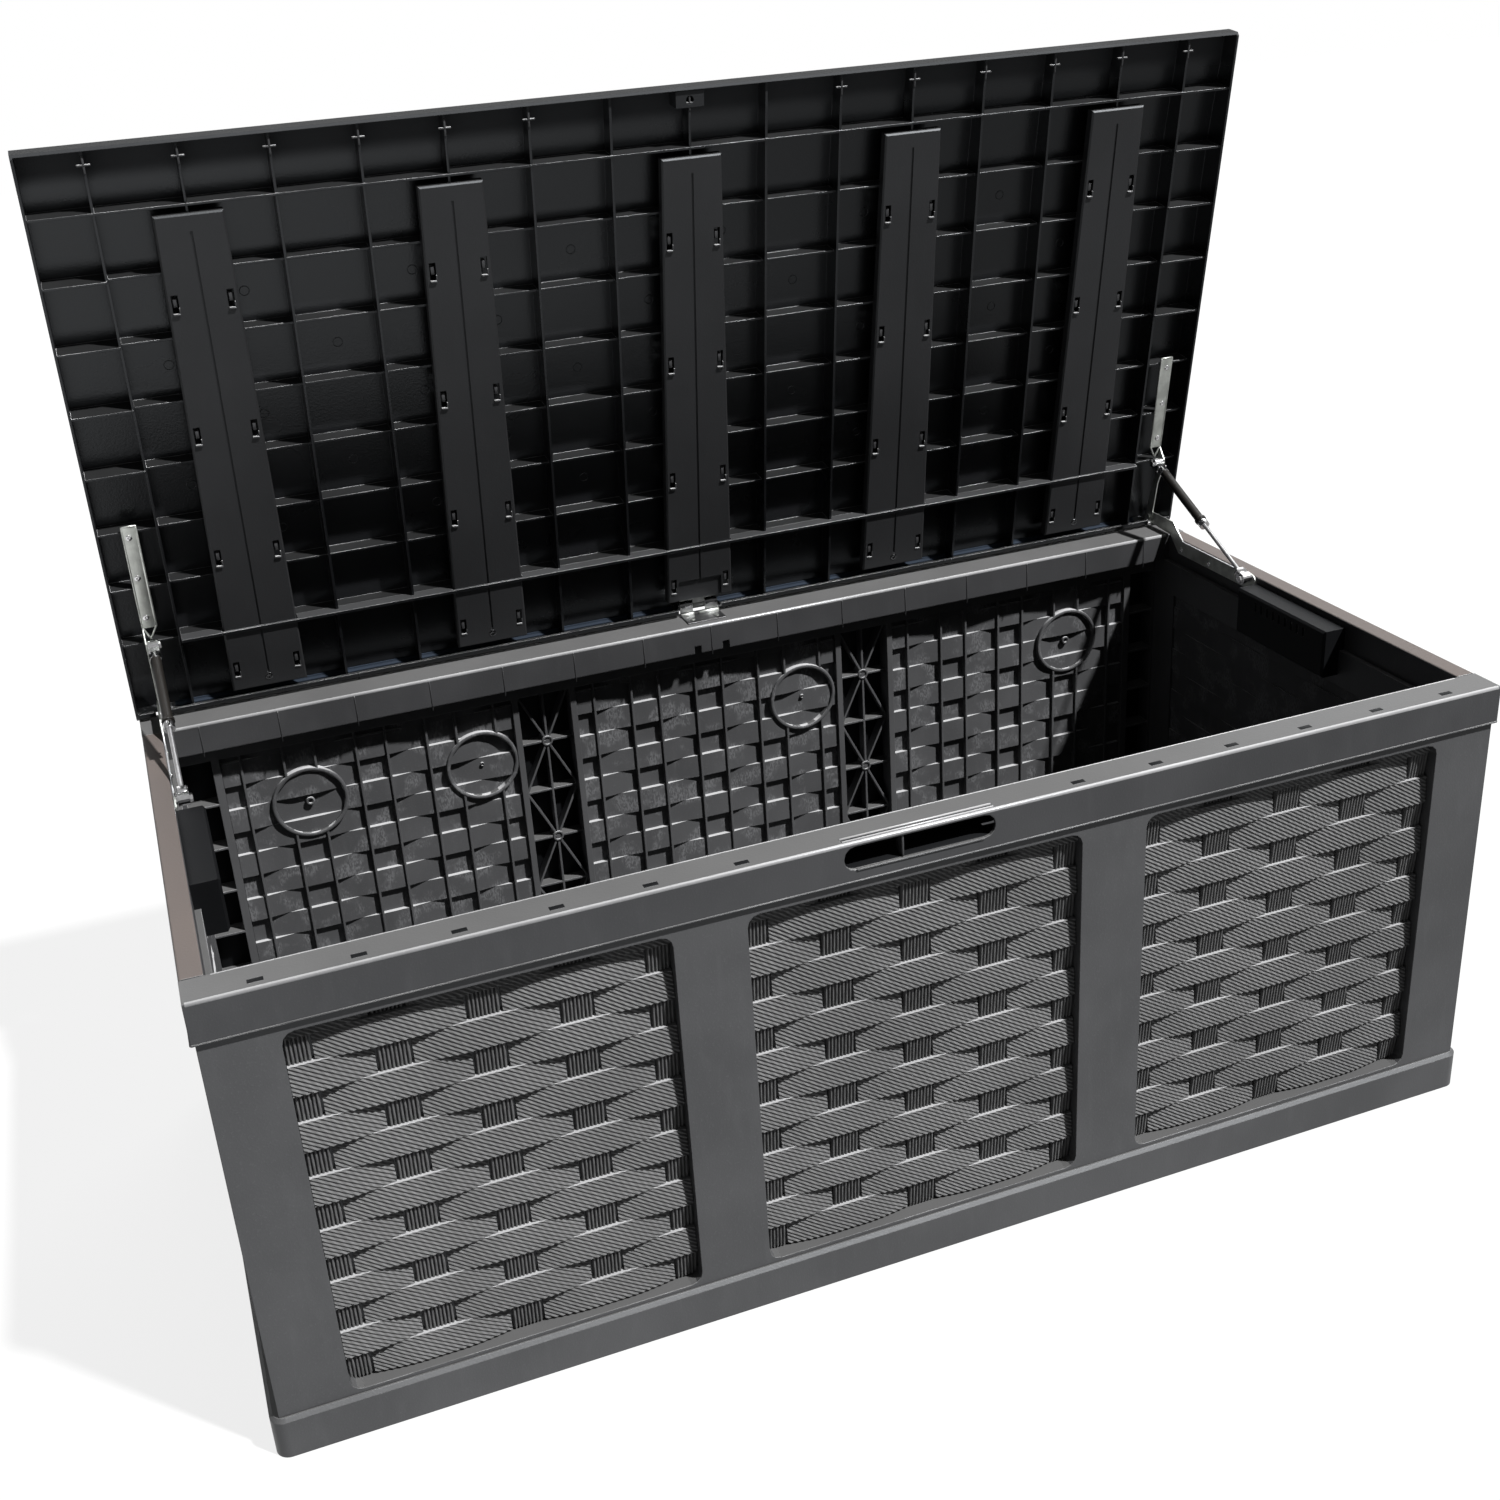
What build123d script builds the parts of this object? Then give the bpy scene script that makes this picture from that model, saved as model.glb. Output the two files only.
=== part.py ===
from build123d import *
import os
from math import atan2, cos, degrees, hypot, radians, sin

os.makedirs("parts", exist_ok=True)

# Deck storage box with its lid open. Millimetres, X along the width, Y from front to back, Z up.
# The origin is on the ground under the middle of the box.

# Driving dimensions of the box
rail_width = 1540.0
rail_depth = 724.0
rim_height = 580.0
plinth_width = 1552.0
plinth_depth = 728.0
plinth_height = 52.0
plinth_radius = 16.0
floor_level = 18.0
floor_skin = 4.0

# Walls: frame with recessed woven fields, ribbed on the inside
skin = 4.0
wall_top = 540.0
wall_thickness = 34.0
side_thickness = 28.0
recess = 20.0
field_bottom = 57.0
field_top = 520.0
side_field_top = 494.0
field_radius = 14.0
field_width = 403.0
field_pitch = 486.0
side_field_width = 552.0
rib = 3.0
ladder_pocket = 40.0
ladder_pitch = 65.0
ladder_ribs = 6
stile_pocket = 74.0
stile_cell = 152.0
stile_cells = 3
ring_diameter = 100.0
ring_level = 427.0
ring_sides = 12
ring_places = (577.0, 339.0, -143.0, -584.0)

# Weave: upright strips with flat bands that pass over every other strip
column_pitch = 96.0
strip_width = 38.0
row_pitch = 34.3
first_row = 60.0
band_height = 31.5
band_crest = 7.0

# Fasteners
screw_hole = 2.05
screw_shank = 2.0
arm_screw_y = (125.0, 195.0, 265.0)
arm_screw_z = 565.0
hinge_screw_x = 18.0
hinge_screw_y = 28.0
leaf_screw_x = 18.0
leaf_screw_v = 34.0
beam_screw_v = 22.0

# Rails that cap the walls
rail_bottom = 532.0
front_rail_depth = 46.0
side_rail_width = 25.0
rear_rail_depth = 62.0
rail_round = 2.5
web_places = (-550.0, -350.0, -130.0, 130.0, 350.0, 550.0)
clip_slot = 13.0
slit_width = 4.0
notch_place = 21.0
grip_width = 180.0
grip_height = 24.0
front_grip_height = 28.0
grip_level = 561.0
side_grip_y = -15.0

# Lid, drawn open: v runs from the hinge axis to the front edge, n out of the underside
open_angle = 81.0
axis_y = 353.0
axis_z = 594.0
lid_width = 1546.0
lid_front = 714.0
roll = 13.0
lid_edge_top = 17.0
lid_crown = 10.0
lid_skin = 3.0
rib_pitch = 100.0
cross_pitch = 77.8
first_cross = 641.5

# Gas strut between the stud on the wall arm and the stud on the lid arm
strut_x = 734.0
arm_face = rail_width / 2 - side_rail_width
arm_plate = 2.0
web_plate = 1.5
slip = 0.3
stud_y = 95.0
stud_z = 577.0
stud_v = 97.0
stud_n = 14.0
stud_diameter = 6.0
eye_width = 13.8
eye_diameter = 16.0
tube_diameter = 13.0
tube_length = 128.0
tube_inset = 14.0
rod_diameter = 6.0
rod_overlap = 15.0
running_fit = 0.05

front_face = -rail_depth / 2
rear_face = rail_depth / 2
wall_face_y = rail_depth / 2 - skin
wall_face_x = rail_width / 2 - skin

theta = radians(open_angle)
along_lid = Vector(0, -cos(theta), sin(theta))
out_of_lid = Vector(0, -sin(theta), -cos(theta))
hinge_point = Vector(0, axis_y, axis_z)
lid_plane = Plane(origin=hinge_point, x_dir=(1, 0, 0), z_dir=out_of_lid)


def lid_section(x):
    """Upright section of the lid at x, with v along its x and n along its y."""
    return Plane(origin=hinge_point + Vector(x, 0, 0), x_dir=along_lid, z_dir=(1, 0, 0))


def finish(part, name):
    part.label = name
    export_step(part, f"parts/{name}.step")


# Base tray: floor panel and plinth in one moulding, hollow and ribbed underneath
with BuildPart() as base_tray:
    with BuildSketch():
        RectangleRounded(plinth_width, plinth_depth, plinth_radius)
    extrude(amount=plinth_height)
    chamfer(base_tray.faces().sort_by(Axis.Z)[-1].outer_wire().edges(), length=4)
    with BuildSketch(Plane.XY.offset(floor_level)):
        Rectangle(2 * wall_face_x - 2 * side_thickness, 2 * wall_face_y - 2 * wall_thickness)
    extrude(amount=plinth_height, mode=Mode.SUBTRACT)
    with BuildSketch():
        with GridLocations(480, 216, 3, 3):
            Rectangle(474, 210)
    extrude(amount=floor_level - floor_skin, mode=Mode.SUBTRACT)
    with BuildSketch():
        with GridLocations(480, plinth_depth - 44, 3, 2):
            Rectangle(474, 34)
        with GridLocations(plinth_width - 42, 216, 2, 3):
            Rectangle(32, 210)
    extrude(amount=plinth_height - floor_skin, mode=Mode.SUBTRACT)
finish(base_tray.part, "base_tray")


def weave_columns(width):
    """Centres of the upright strips that show in a field of this width."""
    reach = int((width / 2 + strip_width / 2) // column_pitch)
    return range(-reach, reach + 1)


def rounded_frame(width, height, radius):
    """Corner points of a rectangle whose corners are rounded in three flats."""
    points = []
    for turn, (side_x, side_y) in enumerate(((1, 1), (-1, 1), (-1, -1), (1, -1))):
        centre = Vector(side_x * (width / 2 - radius), side_y * (height / 2 - radius))
        for step in range(4):
            angle = radians(90 * turn + 30 * step)
            points.append(centre + Vector(cos(angle), sin(angle)) * radius)
    return points


def wall_blank(face, width, thickness, fields, width_of_field, top_of_field, stiles):
    """Moulded wall: recessed fields in a flat frame, with pockets behind fields and stiles."""
    field_height = top_of_field - field_bottom
    field_middle = (top_of_field + field_bottom) / 2
    back_of_stile = face.offset(-skin)
    with BuildPart() as wall:
        with BuildSketch(face):
            with Locations((0, (wall_top + plinth_height) / 2)):
                Rectangle(width, wall_top - plinth_height)
        extrude(amount=-thickness)
        with BuildSketch(face):
            with Locations(*[(x, field_middle) for x in fields]):
                Polygon(*rounded_frame(width_of_field, field_height, field_radius), align=None)
        extrude(amount=-recess, mode=Mode.SUBTRACT)
        with BuildSketch(face.offset(-recess - skin)):
            with Locations(*[(x, field_middle) for x in fields]):
                Rectangle(width_of_field - 2 * skin, field_height - 2 * skin)
        extrude(amount=-thickness, mode=Mode.SUBTRACT)
        if stiles:
            ladder_x = width / 2 - side_thickness - ladder_pocket / 2 - skin
            with BuildSketch(back_of_stile):
                with Locations(*[(x, field_middle) for x in stiles]):
                    Rectangle(stile_pocket, field_height - 2 * skin)
                with Locations((-ladder_x, field_middle), (ladder_x, field_middle)):
                    Rectangle(ladder_pocket, field_height - 2 * skin)
            extrude(amount=-thickness, mode=Mode.SUBTRACT)
    return wall


def woven_wall(blank, face, fields, width_of_field, top_of_field):
    """Wall with the bands of its weave: each lies flat over a strip and slopes down to its neighbours."""
    columns = weave_columns(width_of_field)
    rows = int((top_of_field - first_row) // row_pitch)
    flat = strip_width / 2
    reach = column_pitch - flat
    with BuildPart() as wall:
        add(blank.part)
        for row in range(rows):
            level = Plane(
                origin=face.origin + Vector(0, 0, first_row + row * row_pitch),
                x_dir=face.x_dir,
                z_dir=(0, 0, 1),
            )
            for x in fields:
                with BuildSketch(level):
                    with Locations(*[(x + k * column_pitch, recess) for k in columns if (k + row) % 2]):
                        Polygon((-reach, 0), (-flat, -band_crest), (flat, -band_crest), (reach, 0), align=None)
                    with Locations((x, recess / 2)):
                        Rectangle(width_of_field, 2 * recess, mode=Mode.INTERSECT)
        extrude(amount=band_height)
    return wall


front_fields = (-field_pitch, 0, field_pitch)
front_stiles = (-field_pitch / 2, field_pitch / 2)

front_plane = Plane(origin=(0, -wall_face_y, 0), x_dir=(1, 0, 0), z_dir=(0, -1, 0))
back_plane = Plane(origin=(0, wall_face_y, 0), x_dir=(-1, 0, 0), z_dir=(0, 1, 0))
left_plane = Plane(origin=(-wall_face_x, 0, 0), x_dir=(0, -1, 0), z_dir=(-1, 0, 0))
right_plane = Plane(origin=(wall_face_x, 0, 0), x_dir=(0, 1, 0), z_dir=(1, 0, 0))

front_blank = wall_blank(
    front_plane, 2 * wall_face_x, wall_thickness, front_fields, field_width, field_top, front_stiles
)
front_wall = woven_wall(front_blank, front_plane, front_fields, field_width, field_top)
finish(front_wall.part, "front_wall")

back_blank = wall_blank(
    back_plane, 2 * wall_face_x, wall_thickness, front_fields, field_width, field_top, front_stiles
)
back_middle = (field_top + field_bottom) / 2
pocket_height = field_top - field_bottom - 2 * skin
with BuildPart() as back_wall:
    add(back_blank.part)
    # Upright ribs behind both edges of each strip, and four moulded rings
    with BuildSketch(back_plane.offset(-recess - skin)):
        for x in front_fields:
            for k in weave_columns(field_width):
                for side in (-1, 1):
                    place = k * column_pitch + side * (strip_width / 2 + rib / 2)
                    if abs(place) < field_width / 2 - 2 * skin:
                        with Locations((x + place, back_middle)):
                            Rectangle(rib, pocket_height)
        with Locations(*[(x, ring_level) for x in ring_places]):
            RegularPolygon(ring_diameter / 2, ring_sides)
            RegularPolygon(ring_diameter / 2 - rib, ring_sides, mode=Mode.SUBTRACT)
    extrude(amount=-(wall_thickness - recess - skin) * 0.9)

    # Crossed ribs behind the stiles, and ladder ribs beside the corners
    for x in front_stiles:
        slope = degrees(atan2(stile_pocket, stile_cell))
        with BuildSketch(back_plane.offset(-skin)):
            for cell in range(stile_cells):
                middle = field_top - skin - stile_cell * (cell + 0.5)
                with Locations((x, middle)):
                    Rectangle(rib, hypot(stile_pocket, stile_cell), rotation=-slope)
                    Rectangle(rib, hypot(stile_pocket, stile_cell), rotation=slope)
                    Rectangle(stile_pocket, rib)
                with Locations((x, middle - stile_cell / 2)):
                    Rectangle(stile_pocket, rib)
            with Locations((x, back_middle)):
                Rectangle(rib, pocket_height)
                Rectangle(stile_pocket, pocket_height, mode=Mode.INTERSECT)
        extrude(amount=-(wall_thickness - skin) * 0.7)
    ladder_x = wall_face_x - side_thickness - ladder_pocket / 2 - skin
    with BuildSketch(back_plane.offset(-skin)):
        with Locations((-ladder_x, back_middle), (ladder_x, back_middle)):
            with GridLocations(1, ladder_pitch, 1, ladder_ribs):
                Rectangle(ladder_pocket, rib)
    extrude(amount=-(wall_thickness - skin))
finish(back_wall.part, "back_wall")

side_length = 2 * (wall_face_y - wall_thickness)
for name, plane in (("left_wall", left_plane), ("right_wall", right_plane)):
    side_blank = wall_blank(plane, side_length, side_thickness, (0,), side_field_width, side_field_top, ())
    side_wall = woven_wall(side_blank, plane, (0,), side_field_width, side_field_top)
    finish(side_wall.part, name)


def rail_shell(low, high, seat_low, seat_high, webs):
    """Cap rail between two corners, open below, cut back over its seat on the walls."""
    size = high - low
    middle = (low + high) / 2
    with BuildPart() as shell:
        with BuildSketch(Plane.XY.offset(rail_bottom)):
            with Locations((middle.X, middle.Y)):
                Rectangle(size.X, size.Y)
        extrude(amount=rim_height - rail_bottom)
        long_axis = Axis.X if size.X > size.Y else Axis.Y
        fillet(shell.faces().sort_by(Axis.Z)[-1].edges().filter_by(long_axis), radius=rail_round)
        with BuildSketch(Plane.XY.offset(rail_bottom)):
            with Locations((middle.X, middle.Y)):
                Rectangle(size.X - 2 * skin, size.Y - 2 * skin)
        extrude(amount=rim_height - rail_bottom - skin, mode=Mode.SUBTRACT)
        seat = seat_high - seat_low
        with BuildSketch(Plane.XY.offset(rail_bottom)):
            with Locations(((seat_low.X + seat_high.X) / 2, (seat_low.Y + seat_high.Y) / 2)):
                Rectangle(seat.X, seat.Y)
        extrude(amount=wall_top - rail_bottom, mode=Mode.SUBTRACT)
        with BuildSketch(Plane.XY.offset(wall_top)):
            with Locations(*webs):
                if size.X > size.Y:
                    Rectangle(rib, size.Y - skin)
                else:
                    Rectangle(size.X - skin, rib)
        extrude(amount=rim_height - wall_top - skin)
    return shell


# Front rail with its hand grip, finger slit and the slots over the wall clips
front_low = Vector(-rail_width / 2, front_face)
front_high = Vector(rail_width / 2, front_face + front_rail_depth)
front_webs = [(x, (front_low.Y + front_high.Y) / 2) for x in web_places]
end_skin = Vector(skin, 0)
face_skin = Vector(0, skin)
front_shell = rail_shell(
    front_low, front_high, front_low + end_skin + face_skin, front_high - end_skin, front_webs
)
clip_places = [(s * k * rib_pitch, front_face + 14) for k in range(2, 8) for s in (-1, 1)]
with BuildPart() as front_rail:
    add(front_shell.part)
    with BuildSketch(Plane.XY.offset(rim_height)):
        with Locations(*clip_places):
            Rectangle(clip_slot, 1.5 * slit_width)
        with Locations((0, front_face + 9)):
            Rectangle(grip_width, slit_width)
    extrude(amount=-2 * skin, mode=Mode.SUBTRACT)
    with BuildSketch(Plane(origin=(0, front_face, 0), x_dir=(1, 0, 0), z_dir=(0, -1, 0))):
        with Locations((0, grip_level)):
            grip_outline = rounded_frame(grip_width, front_grip_height, front_grip_height / 2 - 1)
            Polygon(*grip_outline, align=None)
    extrude(amount=-2 * skin, mode=Mode.SUBTRACT)
finish(front_rail.part, "front_rail")

# Rear rail with the deep inner flange
rear_low = Vector(-rail_width / 2, rear_face - rear_rail_depth)
rear_high = Vector(rail_width / 2, rear_face)
rear_webs = [(x, (rear_low.Y + rear_high.Y) / 2) for x in web_places]
rear_shell = rail_shell(
    rear_low, rear_high, rear_low + end_skin, rear_high - end_skin - face_skin, rear_webs
)
with BuildPart() as rear_rail:
    add(rear_shell.part)
    # Two notches in the lower edge of the flange under the hinge
    with BuildSketch(Plane(origin=(0, rear_low.Y, 0), x_dir=(1, 0, 0), z_dir=(0, -1, 0))):
        with Locations((-notch_place, wall_top), (notch_place, wall_top)):
            Rectangle(10, 22)
    extrude(amount=-2 * skin, mode=Mode.SUBTRACT)
    with BuildSketch(Plane.XY.offset(rim_height)):
        with Locations(*[(x, axis_y - hinge_screw_y) for x in (-hinge_screw_x, hinge_screw_x)]):
            RegularPolygon(screw_hole, 6)
    extrude(amount=-2 * skin, mode=Mode.SUBTRACT)
finish(rear_rail.part, "rear_rail")

# Side rails, each with a hand grip that opens into a cup on the inside
cup_depth = 33.0
cup_bottom = 505.0
cup_top = 571.0
cup_wall = 3.0
vent_count = 9
for side, name in ((-1, "left"), (1, "right")):
    outer = side * rail_width / 2
    inner = side * arm_face
    low = Vector(min(outer, inner), front_high.Y)
    high = Vector(max(outer, inner), rear_low.Y)
    middle_x = (outer + inner) / 2
    side_webs = [(middle_x, y) for y in (-250, -130, 110, 200)]
    outer_skin = Vector(skin, 0)
    if side < 0:
        shell = rail_shell(low, high, low + outer_skin, high, side_webs)
    else:
        shell = rail_shell(low, high, low, high - outer_skin, side_webs)
    with BuildPart() as side_rail:
        add(shell.part)
        with BuildSketch(Plane(origin=(outer, 0, 0), x_dir=(0, side, 0), z_dir=(side, 0, 0))):
            with Locations((side * side_grip_y, grip_level)):
                Polygon(*rounded_frame(grip_width, grip_height, grip_height / 2 - 1), align=None)
        extrude(amount=-2 * skin, mode=Mode.SUBTRACT)
        with BuildSketch(Plane(origin=(inner, 0, 0), x_dir=(0, side, 0), z_dir=(side, 0, 0))):
            with Locations((side * side_grip_y, (wall_top + cup_top - cup_wall) / 2)):
                Rectangle(grip_width + 4, cup_top - cup_wall - wall_top)
            with Locations(*[(side * y, arm_screw_z) for y in arm_screw_y]):
                RegularPolygon(screw_hole, 6)
        extrude(amount=-2 * skin, both=True, mode=Mode.SUBTRACT)
    finish(side_rail.part, f"{name}_rail")

    # The cup hangs inside the wall, with a row of vents near its top
    wall_inside = side * (wall_face_x - side_thickness)
    face = Plane(origin=(inner, side_grip_y, 0), x_dir=(0, -side, 0), z_dir=(-side, 0, 0))
    with BuildPart() as hand_cup:
        with BuildSketch(face):
            with Locations((0, (cup_top + cup_bottom) / 2)):
                Rectangle(grip_width + 10, cup_top - cup_bottom)
        extrude(amount=cup_depth)
        chamfer(hand_cup.faces().sort_by(Axis.X)[0 if side > 0 else -1].edges(), length=cup_wall)
        with BuildSketch(face):
            with Locations((0, (cup_top + cup_bottom) / 2)):
                Rectangle(grip_width + 10 - 2 * cup_wall, cup_top - cup_bottom - 2 * cup_wall)
        extrude(amount=cup_depth - cup_wall, mode=Mode.SUBTRACT)
        # Room for the top of the wall, which the lower half leans on
        with BuildSketch(face):
            with Locations((0, wall_top / 2)):
                Rectangle(2 * grip_width, wall_top)
        extrude(amount=abs(wall_inside - inner), mode=Mode.SUBTRACT)
        with BuildSketch(face.offset(cup_depth)):
            with Locations((0, cup_top - 15)):
                with GridLocations(13, 1, vent_count, 1):
                    Rectangle(4, 13)
        extrude(amount=-2 * cup_wall, mode=Mode.SUBTRACT)
    finish(hand_cup.part, f"{name}_hand_cup")


# Lid panel: crowned skin with a rolled rear edge, upright lips and ribs underneath
beam_places = (-600.0, -300.0, 0.0, 300.0, 600.0)
lip = lid_skin
half_lid = lid_width / 2
crown_middle = lid_front / 2
cross_places = [first_cross - k * cross_pitch for k in range(8)]
seat_n = 0.0
beam_rear_half = 48.0
beam_front_half = 39.0
beam_front = 632.0
hinge_half = 30.0
leaf_seat = 3.0
leaf = 2.0

with BuildPart() as lid_void:
    with BuildSketch(lid_section(-half_lid + lip)):
        with BuildLine():
            reach = roll - lip
            inside = lip - lid_edge_top
            Polyline(
                (0, 2 * roll),
                (0, reach),
                (-reach * sin(radians(45)), reach * sin(radians(45))),
                (-reach, 0),
                (-reach, inside + 5),
                (5 - reach, inside),
                (cross_places[6], inside - 0.75 * lid_crown),
                (cross_places[1], inside - 0.75 * lid_crown),
                (lid_front - lip - 5, inside),
                (lid_front - lip, inside + 5),
                (lid_front - lip, 2 * roll),
                close=True,
            )
        make_face()
    extrude(amount=lid_width - 2 * lip)

    # Ribs along the lid, between the beams
    with BuildSketch(lid_plane.offset(8)):
        with Locations(*[(k * rib_pitch, lid_front / 2) for k in range(-7, 8) if k % 3]):
            Rectangle(rib, lid_front + 2 * roll)
    extrude(amount=-4 * roll, mode=Mode.SUBTRACT)

    # Cross ribs: the first runs right across, the others stop at the outer ribs
    with BuildSketch(lid_plane.offset(10)):
        with Locations((0, first_cross)):
            Rectangle(lid_width, rib)
        for side in (-1, 1):
            with Locations(*[(side * (half_lid + 7 * rib_pitch) / 2, v) for v in cross_places[1:5]]):
                Rectangle(half_lid - 7 * rib_pitch, rib)
        with Locations((0, lid_front - 14)):
            Rectangle(36, 20)
    extrude(amount=-4 * roll, mode=Mode.SUBTRACT)
    with BuildSketch(lid_plane.offset(3)):
        for side in (-1, 1):
            with Locations(*[(side * (half_lid + 7 * rib_pitch) / 2, v) for v in cross_places[5:]]):
                Rectangle(half_lid - 7 * rib_pitch, rib)
    extrude(amount=-4 * roll, mode=Mode.SUBTRACT)
    with BuildSketch(lid_plane.offset(seat_n)):
        with Locations(*[(0, v) for v in cross_places[1:]]):
            Rectangle(14 * rib_pitch, rib)
        with Locations(*[(x, beam_screw_v) for x in beam_places if x]):
            RegularPolygon(8, 8)
    extrude(amount=-4 * roll, mode=Mode.SUBTRACT)
    with BuildSketch(lid_plane.offset(leaf_seat)):
        with Locations((0, 30)):
            Rectangle(2 * hinge_half, 32)
    extrude(amount=-4 * roll, mode=Mode.SUBTRACT)

arm_slot = 14.0
hinge_cut = 13.0
with BuildPart() as lid_panel:
    with BuildSketch(lid_section(-half_lid)):
        with BuildLine():
            Line((lid_front - 4, roll), (0, roll))
            ThreePointArc((0, roll), (-roll * sin(radians(45)), roll * sin(radians(45))), (-roll, 0))
            Line((-roll, 0), (-roll, 7 - lid_edge_top))
            ThreePointArc(
                (-roll, 7 - lid_edge_top),
                (-roll + 2.05, 2.05 - lid_edge_top),
                (7 - roll, -lid_edge_top),
            )
            ThreePointArc(
                (7 - roll, -lid_edge_top),
                (crown_middle, -lid_edge_top - lid_crown),
                (lid_front - 7, -lid_edge_top),
            )
            ThreePointArc(
                (lid_front - 7, -lid_edge_top),
                (lid_front - 2.05, 2.05 - lid_edge_top),
                (lid_front, 7 - lid_edge_top),
            )
            Line((lid_front, 7 - lid_edge_top), (lid_front, roll - 4))
            Line((lid_front, roll - 4), (lid_front - 4, roll))
        make_face()
    extrude(amount=lid_width)
    add(lid_void.part, mode=Mode.SUBTRACT)
    # Openings in the rolled edge for the hinge and for the two arms
    with BuildSketch(lid_plane.offset(roll + 1)):
        Rectangle(2 * hinge_half + 4, 2 * hinge_cut + 2)
        with Locations((-strut_x - 7, 0), (strut_x + 7, 0)):
            Rectangle(arm_slot, 2 * hinge_cut + 2)
    extrude(amount=-roll - 10, mode=Mode.SUBTRACT)
    # Lock hole at the middle of the front edge, and the screw holes under the beams
    with BuildSketch(lid_plane.offset(roll)):
        with Locations((0, lid_front - 15)):
            RegularPolygon(5, 12)
        with Locations(*[(x, beam_screw_v) for x in beam_places if x]):
            RegularPolygon(screw_hole, 6)
        with Locations((-leaf_screw_x, leaf_screw_v), (leaf_screw_x, leaf_screw_v)):
            RegularPolygon(screw_hole, 6)
    extrude(amount=-roll - 12, mode=Mode.SUBTRACT)
finish(lid_panel.part, "lid_panel")

# Five stiffening beams: tapered channels with a middle groove and slots for the snap hooks
beam_face = roll
slot_places = (40.0, 203.0, 367.0, 530.0)
lower_leaf_end = 46.0
leaf_step = 3.2


def half_width(v):
    """Half the width of a beam at v: it narrows towards the front of the lid."""
    return beam_rear_half + (beam_front_half - beam_rear_half) * v / beam_front


def beam_outline(x, rear, inset):
    return (
        (x - half_width(rear) + inset, rear + inset),
        (x + half_width(rear) - inset, rear + inset),
        (x + half_width(beam_front) - inset, beam_front - inset),
        (x - half_width(beam_front) + inset, beam_front - inset),
    )


for index, x in enumerate(beam_places):
    rear = 8.0 if x else 14.5
    beam_skin = skin if x else skin + 1
    with BuildPart() as lid_beam:
        with BuildSketch(lid_plane.offset(seat_n)):
            with BuildLine():
                Polyline(*beam_outline(x, rear, 0), close=True)
            make_face()
        extrude(amount=beam_face - seat_n)
        edges = lid_beam.faces().sort_by(SortBy.AREA)[-2:].sort_by(Axis.Y)[0].edges()
        chamfer(edges, length=2)
        with BuildSketch(lid_plane.offset(seat_n)):
            with BuildLine():
                Polyline(*beam_outline(x, rear, rib), close=True)
            make_face()
        extrude(amount=beam_face - seat_n - beam_skin, mode=Mode.SUBTRACT)
        with BuildSketch(lid_plane.offset(beam_face)):
            with Locations((x, (rear + beam_front) / 2)):
                Rectangle(3, beam_front - rear - 40)
        extrude(amount=-1.5, mode=Mode.SUBTRACT)
        with BuildSketch(lid_plane.offset(beam_face)):
            for v in slot_places:
                if v > rear + 15:
                    with Locations(*[(x + s * (half_width(v) - 9), v) for s in (-1, 1)]):
                        Rectangle(8, 22)
            if x:
                with Locations((x, beam_screw_v)):
                    RegularPolygon(screw_hole, 6)
        extrude(amount=-beam_face, mode=Mode.SUBTRACT)
        if x:
            # Post round the end screw, standing on the lid
            with BuildSketch(lid_plane.offset(seat_n)):
                with Locations((x, beam_screw_v)):
                    RegularPolygon(8, 8)
                    RegularPolygon(screw_hole, 6, mode=Mode.SUBTRACT)
            extrude(amount=beam_face - seat_n - 1)
        else:
            # The middle beam ends over the hinge, with room for one leaf under it and one on it
            with BuildSketch(lid_plane.offset(seat_n)):
                with Locations((0, rear)):
                    Rectangle(2 * hinge_half, 4 * rib)
            extrude(amount=leaf_seat + leaf + 1, mode=Mode.SUBTRACT)
            with BuildSketch(lid_plane.offset(beam_face)):
                with Locations((0, rear)):
                    Rectangle(2 * hinge_half + 4, 2 * (lower_leaf_end - rear))
            extrude(amount=-leaf_step, mode=Mode.SUBTRACT)
    finish(lid_beam.part, f"lid_beam_{index + 1}")

# Cross bar that ties the beams together near the hinge side
bar_v = cross_places[-1]
bar_thickness = 4.0
bar_top = 16.0
with BuildPart() as lid_cross_bar:
    with BuildSketch(lid_plane.offset(seat_n)):
        with Locations((0, bar_v)):
            Rectangle(14 * rib_pitch - rib, bar_thickness)
    extrude(amount=bar_top - seat_n)
    with BuildSketch(lid_plane.offset(seat_n)):
        with Locations(*[(x, bar_v) for x in beam_places]):
            Rectangle(2 * beam_rear_half, bar_thickness)
    extrude(amount=beam_face - seat_n, mode=Mode.SUBTRACT)
    with BuildSketch(lid_plane.offset(seat_n)):
        places = [k * rib_pitch for k in range(-7, 8) if k % 3]
        with Locations(*[(x, bar_v) for x in places]):
            Rectangle(rib, bar_thickness)
    extrude(amount=8 - seat_n, mode=Mode.SUBTRACT)
finish(lid_cross_bar.part, "lid_cross_bar")


def screws(name, places, head_radius, head_height, shank_radius, shank_length):
    """Group of like screws: each place is a plane at the seat of a head, facing out."""
    with BuildPart() as group:
        for seat in places:
            with BuildSketch(seat):
                RegularPolygon(head_radius, 6)
            extrude(amount=head_height)
            with BuildSketch(seat):
                RegularPolygon(shank_radius, 6)
            extrude(amount=-shank_length)
    finish(group.part, name)


def lid_point(x, v, n):
    return hinge_point + Vector(x, 0, 0) + along_lid * v + out_of_lid * n


def on_lid(x, v, n):
    return Plane(origin=lid_point(x, v, n), x_dir=(1, 0, 0), z_dir=out_of_lid)


beam_seats = [on_lid(x, beam_screw_v, beam_face) for x in beam_places if x]
screws("beam_screws", beam_seats, 6.5, 0.7, screw_shank, 16)

# Middle hinge: two leaves with interleaved knuckles on one pin
knuckle_radius = 6.0
pin_radius = 2.5
knuckle_half = 9.0
leaf_half = 28.0


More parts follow.
